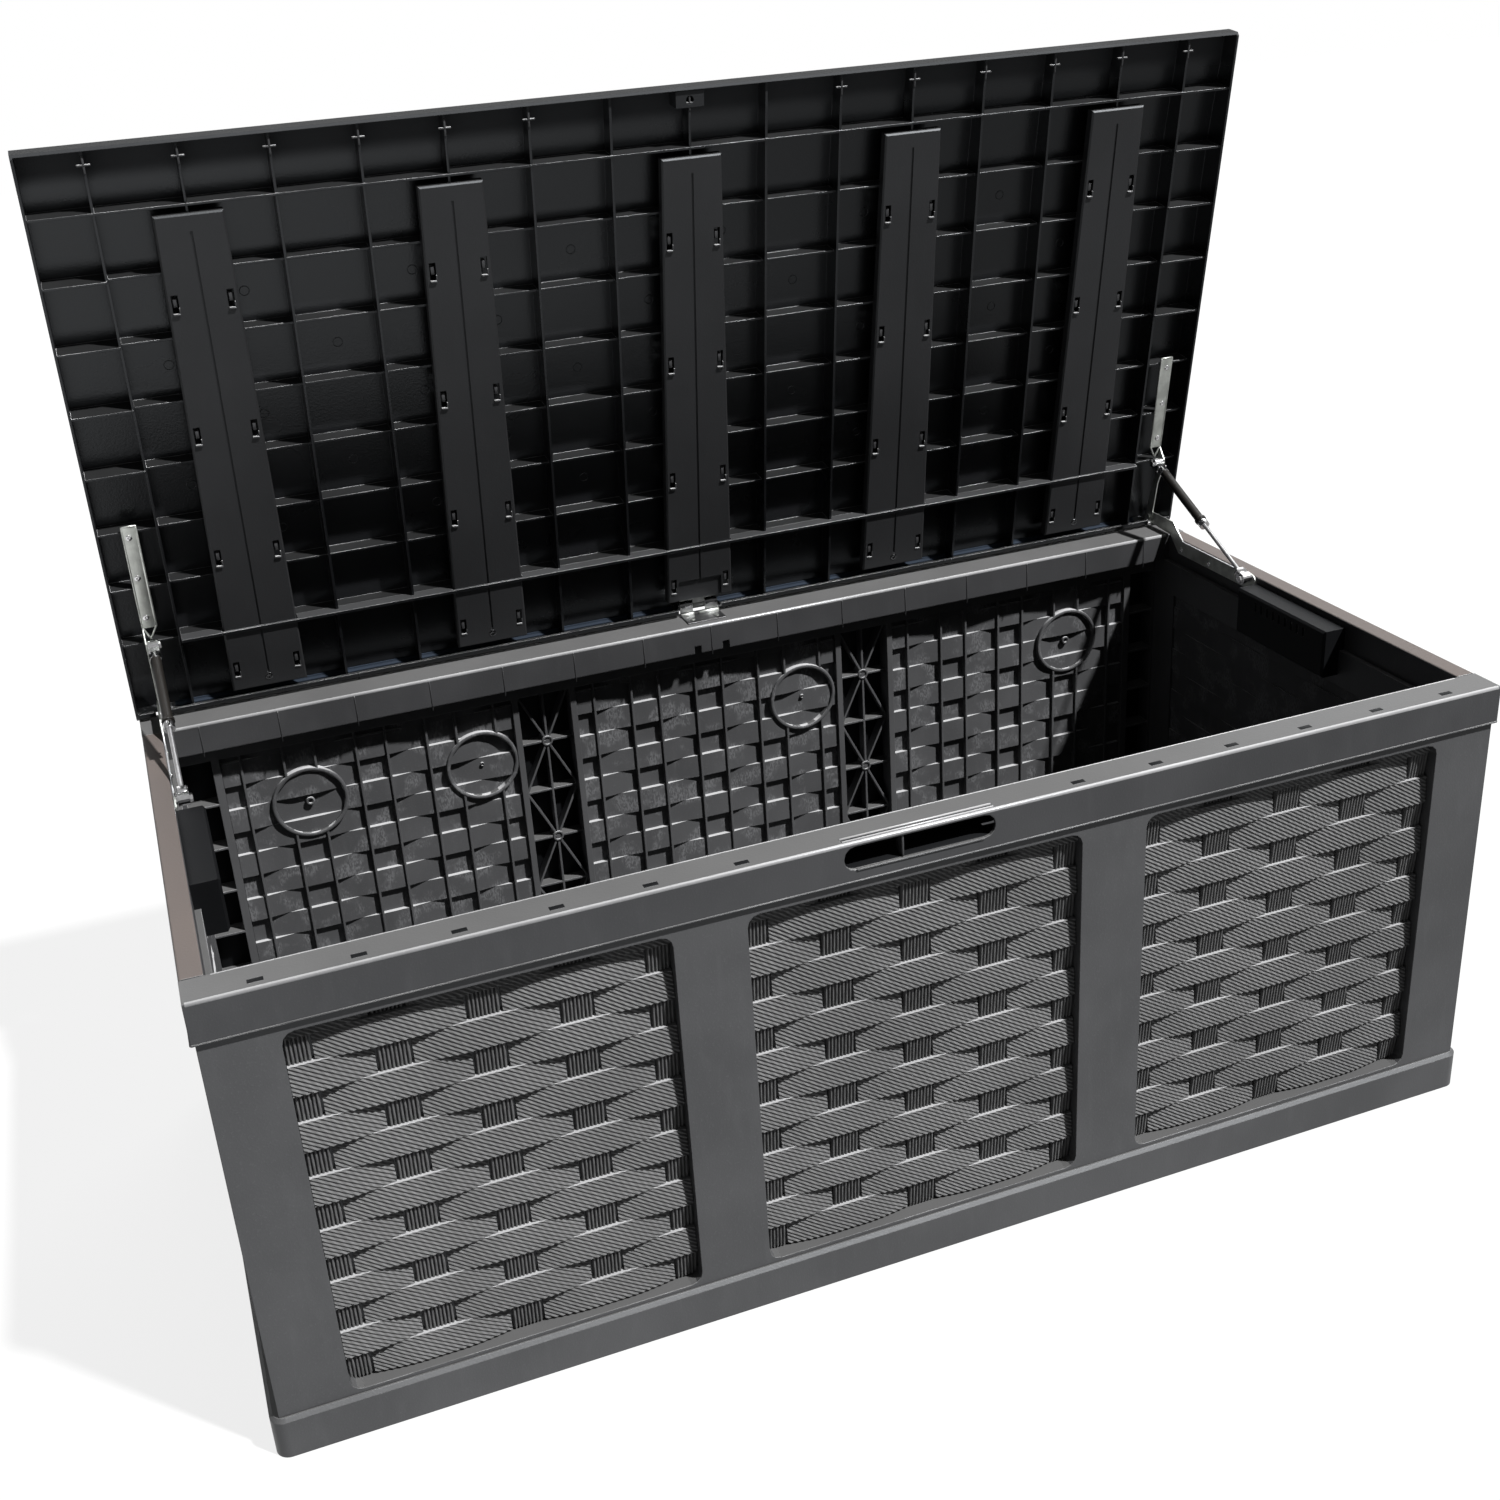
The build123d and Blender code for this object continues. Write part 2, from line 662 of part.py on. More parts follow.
def knuckle_section(x):
    return Plane(origin=hinge_point + Vector(x, 0, 0), x_dir=(0, 1, 0), z_dir=(1, 0, 0))


lower_level = rim_height - axis_z
with BuildPart() as hinge_lower_leaf:
    with BuildSketch(Plane.XY.offset(rim_height)):
        with Locations((0, axis_y - 23)):
            Rectangle(2 * leaf_half, 34)
        with Locations(*[(x, axis_y - hinge_screw_y) for x in (-hinge_screw_x, hinge_screw_x)]):
            RegularPolygon(screw_hole, 6, mode=Mode.SUBTRACT)
    extrude(amount=leaf)
    for start in (-leaf_half, knuckle_half + slip):
        with BuildSketch(knuckle_section(start)):
            RegularPolygon(knuckle_radius, 16)
            with BuildLine():
                Polyline(
                    (-knuckle_radius, lower_level),
                    (leaf - knuckle_radius, lower_level),
                    (leaf - knuckle_radius, 0),
                    (-knuckle_radius, 0),
                    close=True,
                )
            make_face()
            RegularPolygon(pin_radius, 12, major_radius=False, mode=Mode.SUBTRACT)
        extrude(amount=leaf_half - knuckle_half - slip)
finish(hinge_lower_leaf.part, "hinge_lower_leaf")

with BuildPart() as hinge_upper_leaf:
    with BuildSketch(lid_plane.offset(leaf_seat)):
        with Locations((0, 28)):
            Rectangle(2 * leaf_half, 36)
        with Locations((-leaf_screw_x, leaf_screw_v), (leaf_screw_x, leaf_screw_v)):
            RegularPolygon(screw_hole, 6, mode=Mode.SUBTRACT)
    extrude(amount=leaf)
    with BuildSketch(lid_section(-knuckle_half)):
        RegularPolygon(knuckle_radius, 16)
        with BuildLine():
            leaf_top = leaf_seat + leaf
            Polyline((2, leaf_seat), (14, leaf_seat), (14, leaf_top), (2, leaf_top), close=True)
        make_face()
        Circle(pin_radius + running_fit, mode=Mode.SUBTRACT)
    extrude(amount=2 * knuckle_half)
finish(hinge_upper_leaf.part, "hinge_upper_leaf")

with BuildPart() as hinge_pin:
    with BuildSketch(knuckle_section(-leaf_half - 1)):
        Circle(pin_radius)
    extrude(amount=2 * leaf_half + 2)
finish(hinge_pin.part, "hinge_pin")

lower_seats = [
    Plane(origin=(x, axis_y - hinge_screw_y, rim_height + leaf), z_dir=(0, 0, 1))
    for x in (-hinge_screw_x, hinge_screw_x)
]
upper_seats = [on_lid(x, leaf_screw_v, leaf_seat + leaf) for x in (-leaf_screw_x, leaf_screw_x)]
screws("hinge_screws", lower_seats, 4, 0.8, screw_shank, 5)
screws("hinge_lid_screws", upper_seats, 4, 0.8, screw_shank, 12)

# Strut hinges: on each side a wall arm, a lid arm on the same rivet and a gas strut between them
stud_b = lid_point(0, stud_v, stud_n)
reach_y = stud_b.Y - stud_y
reach_z = stud_b.Z - stud_z
strut_length = hypot(reach_y, reach_z)
strut_rise = atan2(reach_z, reach_y)
along_strut = Vector(0, cos(strut_rise), sin(strut_rise))
hub_radius = 8.5
arm_height = 20.0
arm_bottom = 558.0
lid_screw_v = (134.0, 190.0, 246.0)
flange_width = 15.0
flange_n = 3.0
flange_plate = 2.0


def layer(side, near, far):
    """Plane across X at the lower face of a layer, and the layer's thickness."""
    return side * near if side > 0 else side * far, far - near


def strut_plane(x):
    return Plane(origin=(x, stud_y, stud_z), x_dir=along_strut, z_dir=(1, 0, 0))


for side, name in ((-1, "left"), (1, "right")):
    wall_x, wall_plate = layer(side, arm_face - arm_plate, arm_face)
    web_far = arm_face - arm_plate - slip
    web_x, web = layer(side, web_far - web_plate, web_far)
    eye_far = web_far - web_plate - slip
    eye_x, eye = layer(side, eye_far - eye_width, eye_far)

    with BuildPart() as wall_arm:
        with BuildSketch(Plane.YZ.offset(wall_x)):
            with BuildLine():
                Polyline(
                    (stud_y, arm_bottom),
                    (272, arm_bottom),
                    (295, rim_height + 1),
                    (axis_y, axis_z - hub_radius),
                    (axis_y, axis_z + hub_radius),
                    (288, axis_z + hub_radius),
                    (262, arm_bottom + arm_height),
                    (stud_y, arm_bottom + arm_height),
                    close=True,
                )
            make_face()
            with Locations((axis_y, axis_z)):
                RegularPolygon(hub_radius, 16)
            with Locations((stud_y, stud_z - 8)):
                RegularPolygon(13, 16)
            with Locations(*[(y, arm_screw_z) for y in arm_screw_y]):
                RegularPolygon(screw_hole, 6, mode=Mode.SUBTRACT)
        extrude(amount=wall_plate)
    finish(wall_arm.part, f"{name}_wall_arm")

    with BuildPart() as lid_arm:
        with BuildSketch(lid_section(web_x)):
            with BuildLine():
                Polyline(
                    (0, -hub_radius),
                    (stud_v - 12, flange_n + 0.5),
                    (stud_v + 18, flange_n + 0.5),
                    (stud_v + 22, flange_n),
                    (lid_screw_v[-1] + 14, flange_n),
                    (lid_screw_v[-1] + 14, flange_n + flange_plate),
                    (stud_v + 22, flange_n + flange_plate),
                    (stud_v + 7, stud_n + 6),
                    (stud_v, stud_n + 8),
                    (stud_v - 36, roll - 1),
                    (0, hub_radius),
                    close=True,
                )
            make_face()
            RegularPolygon(hub_radius, 16)
            with Locations((stud_v, stud_n)):
                RegularPolygon(8, 12)
            Circle(stud_diameter / 2 + running_fit, mode=Mode.SUBTRACT)
        extrude(amount=web)
        flange_x = side * (web_far - flange_width / 2)
        with BuildSketch(lid_plane.offset(flange_n)):
            with Locations((flange_x, (lid_screw_v[0] + lid_screw_v[-1]) / 2)):
                Rectangle(flange_width, lid_screw_v[-1] - lid_screw_v[0] + 28)
            with Locations(*[(flange_x, v) for v in lid_screw_v]):
                RegularPolygon(screw_hole, 6, mode=Mode.SUBTRACT)
        extrude(amount=flange_plate)
    finish(lid_arm.part, f"{name}_lid_arm")

    # Rivet on the wall arm that the lid arm turns on
    rivet_near = web_far - web_plate - slip
    rivet_x, rivet = layer(side, rivet_near, arm_face - arm_plate)
    head_x, head = layer(side, rivet_near - 2, rivet_near)
    with BuildPart() as arm_rivet:
        with BuildSketch(Plane.YZ.offset(rivet_x)):
            with Locations((axis_y, axis_z)):
                Circle(stud_diameter / 2)
        extrude(amount=rivet)
        with BuildSketch(Plane.YZ.offset(head_x)):
            with Locations((axis_y, axis_z)):
                RegularPolygon(5.5, 12)
        extrude(amount=head)
    finish(arm_rivet.part, f"{name}_arm_rivet")

    # Stud on the wall arm with its collar and nut
    eye_near = eye_far - eye_width
    stud_x, stud = layer(side, eye_near - 0.2, eye_far + 0.2)
    with BuildPart() as wall_stud:
        with BuildSketch(Plane.YZ.offset(stud_x)):
            with Locations((stud_y, stud_z)):
                Circle(stud_diameter / 2)
        extrude(amount=stud)
        for near, far in ((eye_far + 0.2, arm_face - arm_plate), (eye_near - 3.8, eye_near - 0.2)):
            nut_x, nut = layer(side, near, far)
            with BuildSketch(Plane.YZ.offset(nut_x)):
                with Locations((stud_y, stud_z)):
                    RegularPolygon(5.2, 6)
            extrude(amount=nut)
    finish(wall_stud.part, f"{name}_wall_stud")

    # Rod with its eye on the stud
    tube_start = strut_length - tube_inset - tube_length
    with BuildPart() as rod_eye:
        with BuildSketch(strut_plane(eye_x)):
            RegularPolygon(eye_diameter / 2, 16)
            with Locations((tube_inset / 2, 0)):
                Rectangle(tube_inset, 10)
            Circle(stud_diameter / 2 + running_fit, mode=Mode.SUBTRACT)
        extrude(amount=eye)
    finish(rod_eye.part, f"{name}_rod_eye")

    strut_axis = Plane(origin=(side * strut_x, stud_y, stud_z), x_dir=(1, 0, 0), z_dir=along_strut)
    with BuildPart() as strut_rod:
        with BuildSketch(strut_axis.offset(tube_inset)):
            Circle(rod_diameter / 2)
        extrude(amount=tube_start + rod_overlap - tube_inset)
    finish(strut_rod.part, f"{name}_strut_rod")

    # Tube that slides on the rod, and its eye at the lid arm
    with BuildPart() as strut_tube:
        with BuildSketch(strut_axis.offset(tube_start)):
            Circle(tube_diameter / 2)
        extrude(amount=tube_length)
        with BuildSketch(strut_axis.offset(tube_start)):
            Circle(rod_diameter / 2 + running_fit)
        extrude(amount=tube_length - 12, mode=Mode.SUBTRACT)
    finish(strut_tube.part, f"{name}_strut_tube")

    with BuildPart() as tube_eye:
        with BuildSketch(strut_plane(eye_x)):
            with Locations((strut_length, 0)):
                RegularPolygon(eye_diameter / 2, 16)
            with Locations((strut_length - tube_inset / 2, 0)):
                Rectangle(tube_inset, 10)
        extrude(amount=eye)
        # Ball pin of the eye, as long as the gap to the web allows
        pin_x, pin = layer(side, eye_far - eye_width - 3, eye_far)
        with BuildSketch(strut_plane(pin_x)):
            with Locations((strut_length, 0)):
                RegularPolygon(5.2, 6)
        extrude(amount=pin)
    finish(tube_eye.part, f"{name}_tube_eye")

wall_seats = []
lid_seats = []
for side in (-1, 1):
    inner_face = side * (arm_face - arm_plate)
    for y in arm_screw_y:
        seat = Plane(origin=(inner_face, y, arm_screw_z), x_dir=(0, 1, 0), z_dir=(-side, 0, 0))
        wall_seats.append(seat)
    for v in lid_screw_v:
        flange_x = side * (arm_face - arm_plate - slip - flange_width / 2)
        lid_seats.append(on_lid(flange_x, v, flange_n + flange_plate))
screws("wall_arm_screws", wall_seats, 3.6, 1.2, screw_shank, arm_plate + 6)
screws("lid_arm_screws", lid_seats, 4, 1.2, screw_shank, flange_plate + 2)
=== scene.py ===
from math import cos, pi, radians, sin

import bmesh
import bpy
from mathutils import Matrix, Vector


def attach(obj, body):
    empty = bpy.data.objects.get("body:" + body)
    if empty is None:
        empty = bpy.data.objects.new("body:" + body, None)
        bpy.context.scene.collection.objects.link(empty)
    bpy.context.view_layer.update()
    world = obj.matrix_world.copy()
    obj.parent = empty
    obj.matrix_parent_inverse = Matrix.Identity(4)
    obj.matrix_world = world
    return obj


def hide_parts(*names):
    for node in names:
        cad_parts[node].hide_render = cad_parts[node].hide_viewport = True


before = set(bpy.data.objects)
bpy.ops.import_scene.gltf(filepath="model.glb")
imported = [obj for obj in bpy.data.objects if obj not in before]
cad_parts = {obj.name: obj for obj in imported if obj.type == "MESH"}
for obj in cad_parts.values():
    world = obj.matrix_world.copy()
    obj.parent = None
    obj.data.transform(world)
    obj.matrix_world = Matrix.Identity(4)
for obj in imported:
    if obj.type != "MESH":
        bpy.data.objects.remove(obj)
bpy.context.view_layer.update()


# Base tray
# Floor and plinth are one injection moulding in through-dyed anthracite resin, with a fine spark-eroded
# grain and softly rounded edges. It stands outdoors, so pale dust lies on whatever faces up.
class Value:
    """A number that varies over a surface, written in formulas like any other number."""

    def __init__(self, finish, socket):
        self.finish = finish
        self.socket = socket

    def math(self, operation, first, second):
        return self.finish.add("ShaderNodeMath", {"operation": operation}, {0: first, 1: second})

    def __add__(self, other):
        return self.math("ADD", self, other)

    __radd__ = __add__

    def __sub__(self, other):
        return self.math("SUBTRACT", self, other)

    def __rsub__(self, other):
        return self.math("SUBTRACT", other, self)

    def __mul__(self, other):
        return self.math("MULTIPLY", self, other)

    __rmul__ = __mul__

    def ramp(self, low, high):
        """0 below low, 1 above high, smooth between."""
        ends = {"Value": self, "From Min": low, "From Max": high}
        return self.finish.add("ShaderNodeMapRange", {"interpolation_type": "SMOOTHSTEP"}, ends)


class Finish:
    """A material with one shader, fed by the values that vary over the surface."""

    def __init__(self, name):
        self.material = bpy.data.materials.new(name)
        self.material.use_nodes = True
        self.tree = self.material.node_tree
        self.tree.nodes.clear()
        self.shader = self.tree.nodes.new("ShaderNodeBsdfPrincipled")
        self.output = self.tree.nodes.new("ShaderNodeOutputMaterial")
        self.tree.links.new(self.shader.outputs["BSDF"], self.output.inputs["Surface"])

    def find(self, sockets, key):
        if isinstance(key, int):
            return sockets[key]
        usable = (socket for socket in sockets if socket.enabled)
        return next(socket for socket in usable if key in (socket.identifier, socket.name))

    def feed(self, node, inputs):
        for key, value in inputs.items():
            socket = self.find(node.inputs, key)
            if isinstance(value, Value):
                self.tree.links.new(value.socket, socket)
            else:
                socket.default_value = value

    def add(self, kind, settings=None, inputs=None, output=0):
        node = self.tree.nodes.new(kind)
        for key, value in (settings or {}).items():
            setattr(node, key, value)
        self.feed(node, inputs or {})
        return Value(self, self.find(node.outputs, output))

    def place(self):
        return self.add("ShaderNodeTexCoord", output="Object")

    def part_of(self, vector, axis):
        return self.add("ShaderNodeSeparateXYZ", {}, {"Vector": vector}, axis)

    def upward(self):
        """Upward part of the way a face looks, 1 on a level top."""
        return self.part_of(self.add("ShaderNodeTexCoord", output="Normal"), "Z")

    def noise(self, scale, detail=3.0, stretch=(1, 1, 1)):
        place = self.add("ShaderNodeVectorMath", {"operation": "MULTIPLY"}, {0: self.place(), 1: stretch})
        return self.add("ShaderNodeTexNoise", {}, {"Vector": place, "Scale": scale, "Detail": detail})

    def blend(self, factor, first, second):
        """Mix of two colours, either of which may vary already."""
        ends = {"Factor_Float": factor}
        for key, colour in (("A_Color", first), ("B_Color", second)):
            ends[key] = colour if isinstance(colour, Value) else (*colour, 1)
        return self.add("ShaderNodeMix", {"data_type": "RGBA"}, ends, "Result_Color")

    def rounded(self, radius):
        """Normal of the surface with its edges rounded by this radius."""
        return self.add("ShaderNodeBevel", {"samples": 4}, {"Radius": radius})

    def highlit_edges(self, rounded):
        """1 on edges that look up, where a highlight is painted, 0 on plain faces."""
        plain = self.add("ShaderNodeNewGeometry", output="Normal")
        pair = {0: rounded, 1: plain}
        likeness = self.add("ShaderNodeVectorMath", {"operation": "DOT_PRODUCT"}, pair, "Value")
        return (1 - likeness).ramp(0.02, 0.16) * self.part_of(rounded, "Z").ramp(0.2, 0.6)

    def stitches(self):
        """Short dashes along the ridges of a twill, staggered from ridge to ridge, from 0 to 1."""
        run = 0.84
        drop = 0.54
        dashes = 560
        stagger = 748
        place = self.place()
        level = self.part_of(place, "X") + self.part_of(place, "Y")
        height = self.part_of(place, "Z")
        along = level * run - height * drop
        across = level * drop + height * run
        phase = along * dashes + across * stagger
        return self.add("ShaderNodeMath", {"operation": "SINE"}, {0: phase}) * 0.5 + 0.5

    def grain(self, height, strength, distance, rounded):
        relief = {"Height": height, "Strength": strength, "Distance": distance, "Normal": rounded}
        return self.add("ShaderNodeBump", {}, relief)


def tinted(colour, share):
    return tuple(part * share for part in colour)


def moulded_resin(
    name, colour, dust_and_highlight, edge_highlight, roughness, edge,
    dust_and_highlight_share=1.0, gloss=0.35, stitch_shade=0, chalk=0, dull_above=0,
):
    """Through-dyed moulded resin with an edge radius, a highlight painted on edges that look up, and a pale
    colour on what faces up: dust on most finishes, a painted highlight on some.
    """
    finish = Finish(name)
    rounded = finish.rounded(edge)

    # Soft clouds in the tone, scuffs drawn out in height, and fine flecks
    cloud = finish.noise(7.0, 5.0)
    scuff = finish.noise(60.0, 2.0, (1, 1, 0.25))
    fleck = finish.noise(420.0, 2.0)
    body = finish.blend(cloud.ramp(0.3, 0.7), tinted(colour, 0.88), tinted(colour, 1.12))
    body = finish.blend(scuff.ramp(0.5, 0.85) * 0.25, body, tinted(colour, 1.45))
    body = finish.blend(fleck.ramp(0.58, 0.75) * 0.25, body, tinted(colour, 1.7))
    # Dark dashes along the twill's ridges are painted shade of its stitches
    if stitch_shade:
        body = finish.blend(finish.stitches() * stitch_shade, body, tinted(colour, 0.5))
    if chalk:
        patch = finish.noise(24.0, 3.0).ramp(0.5, 0.62)
        scratch = finish.noise(520.0, 2.0, (1, 1, 0.4)).ramp(0.38, 0.62)
        body = finish.blend(patch * scratch * chalk, body, tinted(colour, 3.0))

    # Pale colour on what faces up, dust on most finishes and a painted highlight on some, rougher there; a
    # highlight is painted on edges that look up, in patches
    lying = finish.upward().ramp(0.55, 0.95) * (0.55 + cloud * 0.5) * dust_and_highlight_share
    highlight_patches = finish.noise(13.0, 2.0).ramp(0.4, 0.58)
    edge_highlight_mask = finish.highlit_edges(rounded) * (0.3 + highlight_patches * 0.7)
    rough = roughness + (cloud - 0.5) * 0.08 + lying * 0.35
    # Above this height no highlight is painted on the edges, and the surface is rougher
    if dull_above:
        above_highlight_line = finish.part_of(finish.place(), "Z").ramp(dull_above, dull_above + 0.02)
        edge_highlight_mask = edge_highlight_mask * (1 - above_highlight_line)
        rough = rough + above_highlight_line * 0.45
    finish.feed(finish.shader, {
        "Base Color": finish.blend(edge_highlight_mask, finish.blend(lying, body, dust_and_highlight), edge_highlight),
        "Roughness": rough,
        "Specular IOR Level": gloss,
        "Specular Tint": (0.92, 0.96, 1.0, 1.0),
        "Normal": finish.grain(fleck, 0.25, 0.0006, rounded),
    })
    return finish.material


def dress(material, *nodes):
    for node in nodes:
        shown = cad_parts[node]
        shown.data.materials.clear()
        shown.data.materials.append(material)


resin_colour = (0.072, 0.0725, 0.075)
resin_dust = (0.085, 0.084, 0.083)
# Pale grey painted on upward edges as a highlight
edge_highlight_grey = (0.34, 0.34, 0.345)
resin = moulded_resin("anthracite_resin", resin_colour, resin_dust, edge_highlight_grey, roughness=0.38, edge=0.0014)
dress(resin, "base_tray")


# Walls
# Each wall is one moulding with a flat frame round its woven fields. Ribbed upright strips run the height
# of a field, and bands in a diagonal twill pass over every other strip, row after row. On the inside the
# same weave shows as hollows and ledges.
dress(resin, "front_wall", "back_wall", "left_wall", "right_wall")
# The weave is the walls' resin painted about twice as light, standing in for the sun its tilted bands catch
weave_lit_colour = (0.146, 0.146, 0.147)
# Pale colour painted on the weave's ledges and edges as a highlight
ledge_highlight = (0.40, 0.40, 0.405)
woven = moulded_resin(
    "woven_resin", weave_lit_colour, ledge_highlight, ledge_highlight, roughness=0.45, edge=0.0006,
    gloss=0.15, stitch_shade=0.6,
)
# Inside, the relief's ledges carry the same painted highlight
relief = moulded_resin(
    "relief_resin", resin_colour, ledge_highlight, edge_highlight_grey, roughness=0.40, edge=0.0008,
    dust_and_highlight_share=1.3, gloss=0.15, chalk=0.45,
)

face_x = 0.766
face_y = 0.358
recess = 0.020
wall_skin = 0.004
field_pitch = 0.486
column_pitch = 0.096
row_pitch = 0.0343
first_row = 0.060
strip_width = 0.038
strip_face = 0.033
strip_foot = 0.0050
strip_head = 0.0085
band_reach = column_pitch - strip_width / 2
band_crest = 0.0090
band_toe = 0.0030
band_tilt = 0.0027
tuck = 0.001
gap = 0.0006


def band_rise(offset):
    """Height of a band over the floor of the field, at this distance from its middle."""
    share = (band_reach - abs(offset)) / (band_reach - strip_width / 2)
    return band_toe + (band_crest - band_toe) * sin(pi / 2 * max(0.0, min(1.0, share)))


def mesh_of(name, shape):
    bmesh.ops.recalc_face_normals(shape, faces=shape.faces)
    mesh = bpy.data.meshes.new(name)
    shape.to_mesh(mesh)
    shape.free()
    return mesh


def sheet_mesh(name, points, rows, depth, low, high):
    """Grid of points, column by column, cut off square at both ends, its border turned in to this depth."""
    sheet = bmesh.new()
    corners = [sheet.verts.new(point) for point in points]
    for first in range(len(points) - rows):
        if first % rows < rows - 1:
            sheet.faces.new([corners[i] for i in (first, first + rows, first + rows + 1, first + 1)])
    for end, way in ((low, -1), (high, 1)):
        cut = {"plane_co": (end, 0, 0), "plane_no": (way, 0, 0), "clear_outer": True}
        bmesh.ops.bisect_plane(sheet, geom=sheet.verts[:] + sheet.edges[:] + sheet.faces[:], **cut)
    bmesh.ops.remove_doubles(sheet, verts=sheet.verts, dist=1e-5)
    border = [edge for edge in sheet.edges if edge.is_boundary]
    turned_in = bmesh.ops.extrude_edge_only(sheet, edges=border)["geom"]
    for item in turned_in:
        if isinstance(item, bmesh.types.BMVert):
            item.co.y = depth
    return mesh_of(name, sheet)


def twill_band(low, high, tall):
    """One band between two places along it, in a diagonal twill, its lower edge standing out most."""
    ridge_pitch = 0.0078
    ridge_height = 0.0012
    slant = 1.55 * tall
    levels = 4
    points = []
    for step in range(int((2 * band_reach + slant) / ridge_pitch * 2) + 2):
        for level in range(levels):
            share = level / (levels - 1)
            across = -band_reach + step * ridge_pitch / 2 - slant * share
            up = tall * share
            out = band_rise(across) + band_tilt * (0.5 - up / row_pitch) + ridge_height * (step % 2)
            points.append((across, recess - out, up))
    return sheet_mesh("twill_band", points, levels, recess + tuck, low, high)


def ribbed_strip(low, high, tall):
    """The bare face of an upright strip, with eight flat-topped ribs and deep grooves."""
    ribs = 8
    groove = 0.0030
    points = []
    for rib in range(ribs):
        for share, sunk in ((0.0, groove), (0.3, 0), (0.65, 0), (0.95, groove)):
            across = strip_face * ((rib + share) / ribs - 0.5)
            for up in (0.0, tall):
                out = strip_foot + (strip_head - strip_foot) * up / row_pitch - sunk
                points.append((across, recess - out, up))
    return sheet_mesh("ribbed_strip", points, 2, recess + tuck, low, high)


# A mesh is repeated on the points of a grid, and the copies are made real
grid_tree = bpy.data.node_groups.new("grid_of_copies", "GeometryNodeTree")
grid_sockets = {}
for label, kind in (
    ("Geometry", "NodeSocketGeometry"),
    ("Places across", "NodeSocketInt"),
    ("Places up", "NodeSocketInt"),
    ("Width", "NodeSocketFloat"),
    ("Height", "NodeSocketFloat"),
    ("Finish", "NodeSocketMaterial"),
):
    grid_sockets[label] = grid_tree.interface.new_socket(label, in_out="INPUT", socket_type=kind).identifier
grid_tree.interface.new_socket("Geometry", in_out="OUTPUT", socket_type="NodeSocketGeometry")
entry = grid_tree.nodes.new("NodeGroupInput")
leave = grid_tree.nodes.new("NodeGroupOutput")
lattice = grid_tree.nodes.new("GeometryNodeMeshGrid")
copies = grid_tree.nodes.new("GeometryNodeInstanceOnPoints")
real = grid_tree.nodes.new("GeometryNodeRealizeInstances")
painted = grid_tree.nodes.new("GeometryNodeSetMaterial")
for source, target in (
    (entry.outputs["Width"], lattice.inputs["Size X"]),
    (entry.outputs["Height"], lattice.inputs["Size Y"]),
    (entry.outputs["Places across"], lattice.inputs["Vertices X"]),
    (entry.outputs["Places up"], lattice.inputs["Vertices Y"]),
    (lattice.outputs["Mesh"], copies.inputs["Points"]),
    (entry.outputs["Geometry"], copies.inputs["Instance"]),
    (copies.outputs["Instances"], real.inputs["Geometry"]),
    (real.outputs["Geometry"], painted.inputs["Geometry"]),
    (entry.outputs["Finish"], painted.inputs["Material"]),
    (painted.outputs["Geometry"], leave.inputs["Geometry"]),
):
    grid_tree.links.new(source, target)


def grid_of(mesh, across, up, width, height, material):
    """Copies of a mesh, laid out in the x-y plane about the origin, as one plain mesh."""
    carrier = bpy.data.objects.new("carrier", mesh)
    bpy.context.collection.objects.link(carrier)
    modifier = carrier.modifiers.new("copies", "NODES")
    modifier.node_group = grid_tree
    least = 1e-4
    values = {
        "Places across": across,
        "Places up": up,
        "Width": max(width, least),
        "Height": max(height, least),
        "Finish": material,
    }
    for label, value in values.items():
        modifier[grid_sockets[label]] = value
    seen = carrier.evaluated_get(bpy.context.evaluated_depsgraph_get())
    result = bpy.data.meshes.new_from_object(seen)
    bpy.data.objects.remove(carrier)
    return result


def row_of(mesh, count, pitch, material, middle=0.0):
    """Copies of a mesh in a row along x, about this place."""
    row = grid_of(mesh, count, 1, (count - 1) * pitch, 0, material)
    row.transform(Matrix.Translation((middle, 0, 0)))
    return row


def piece(name, meshes, material, body, replaced=()):
    """One finished piece made of several meshes, riding on its body."""
    whole = bmesh.new()
    for mesh in meshes:
        whole.from_mesh(mesh)
    joined = bpy.data.meshes.new(name)
    whole.to_mesh(joined)
    whole.free()
    joined.materials.clear()
    joined.materials.append(material)
    joined.shade_smooth()
    joined.set_sharp_from_angle(angle=radians(52))
    shown = bpy.data.objects.new(name, joined)
    bpy.context.collection.objects.link(shown)
    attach(shown, body)
    if replaced:
        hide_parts(*replaced)


upright = Matrix.Rotation(radians(90), 4, "X")


def up_the_wall(element, start, rows, fields, middle, material):
    """Copies of a mesh in every second row from start, in every field of a wall."""
    count = len(range(start, rows, 2))
    tall = (count - 1) * 2 * row_pitch
    element.transform(upright.inverted())
    laid = grid_of(element, fields, count, (fields - 1) * field_pitch, tall, material)
    laid.transform(Matrix.Translation((middle, first_row + start * row_pitch + tall / 2, 0)))
    laid.transform(upright)
    return laid


def weave(width, top, fields):
    """Every band and strip on a wall's face, with a part row under the top of the field."""
    half = width / 2 - gap
    rows = int((top - first_row) / row_pitch)
    last = top - first_row - rows * row_pitch - gap
    reach = int((width / 2 + strip_width / 2) / column_pitch)
    meshes = []
    for column in range(-reach, reach + 1):
        middle = column * column_pitch
        for maker, wide, odd in ((twill_band, band_reach, 1), (ribbed_strip, strip_face / 2, 0)):
            low = max(-wide, -half - middle)
            high = min(wide, half - middle)
            start = (column + odd) % 2
            full = maker(low, high, row_pitch)
            meshes.append(up_the_wall(full, start, rows, fields, middle, woven))
            if (rows - start) % 2 == 0:
                part = maker(low, high, last)
                meshes.append(up_the_wall(part, rows, rows + 1, fields, middle, woven))
    return meshes


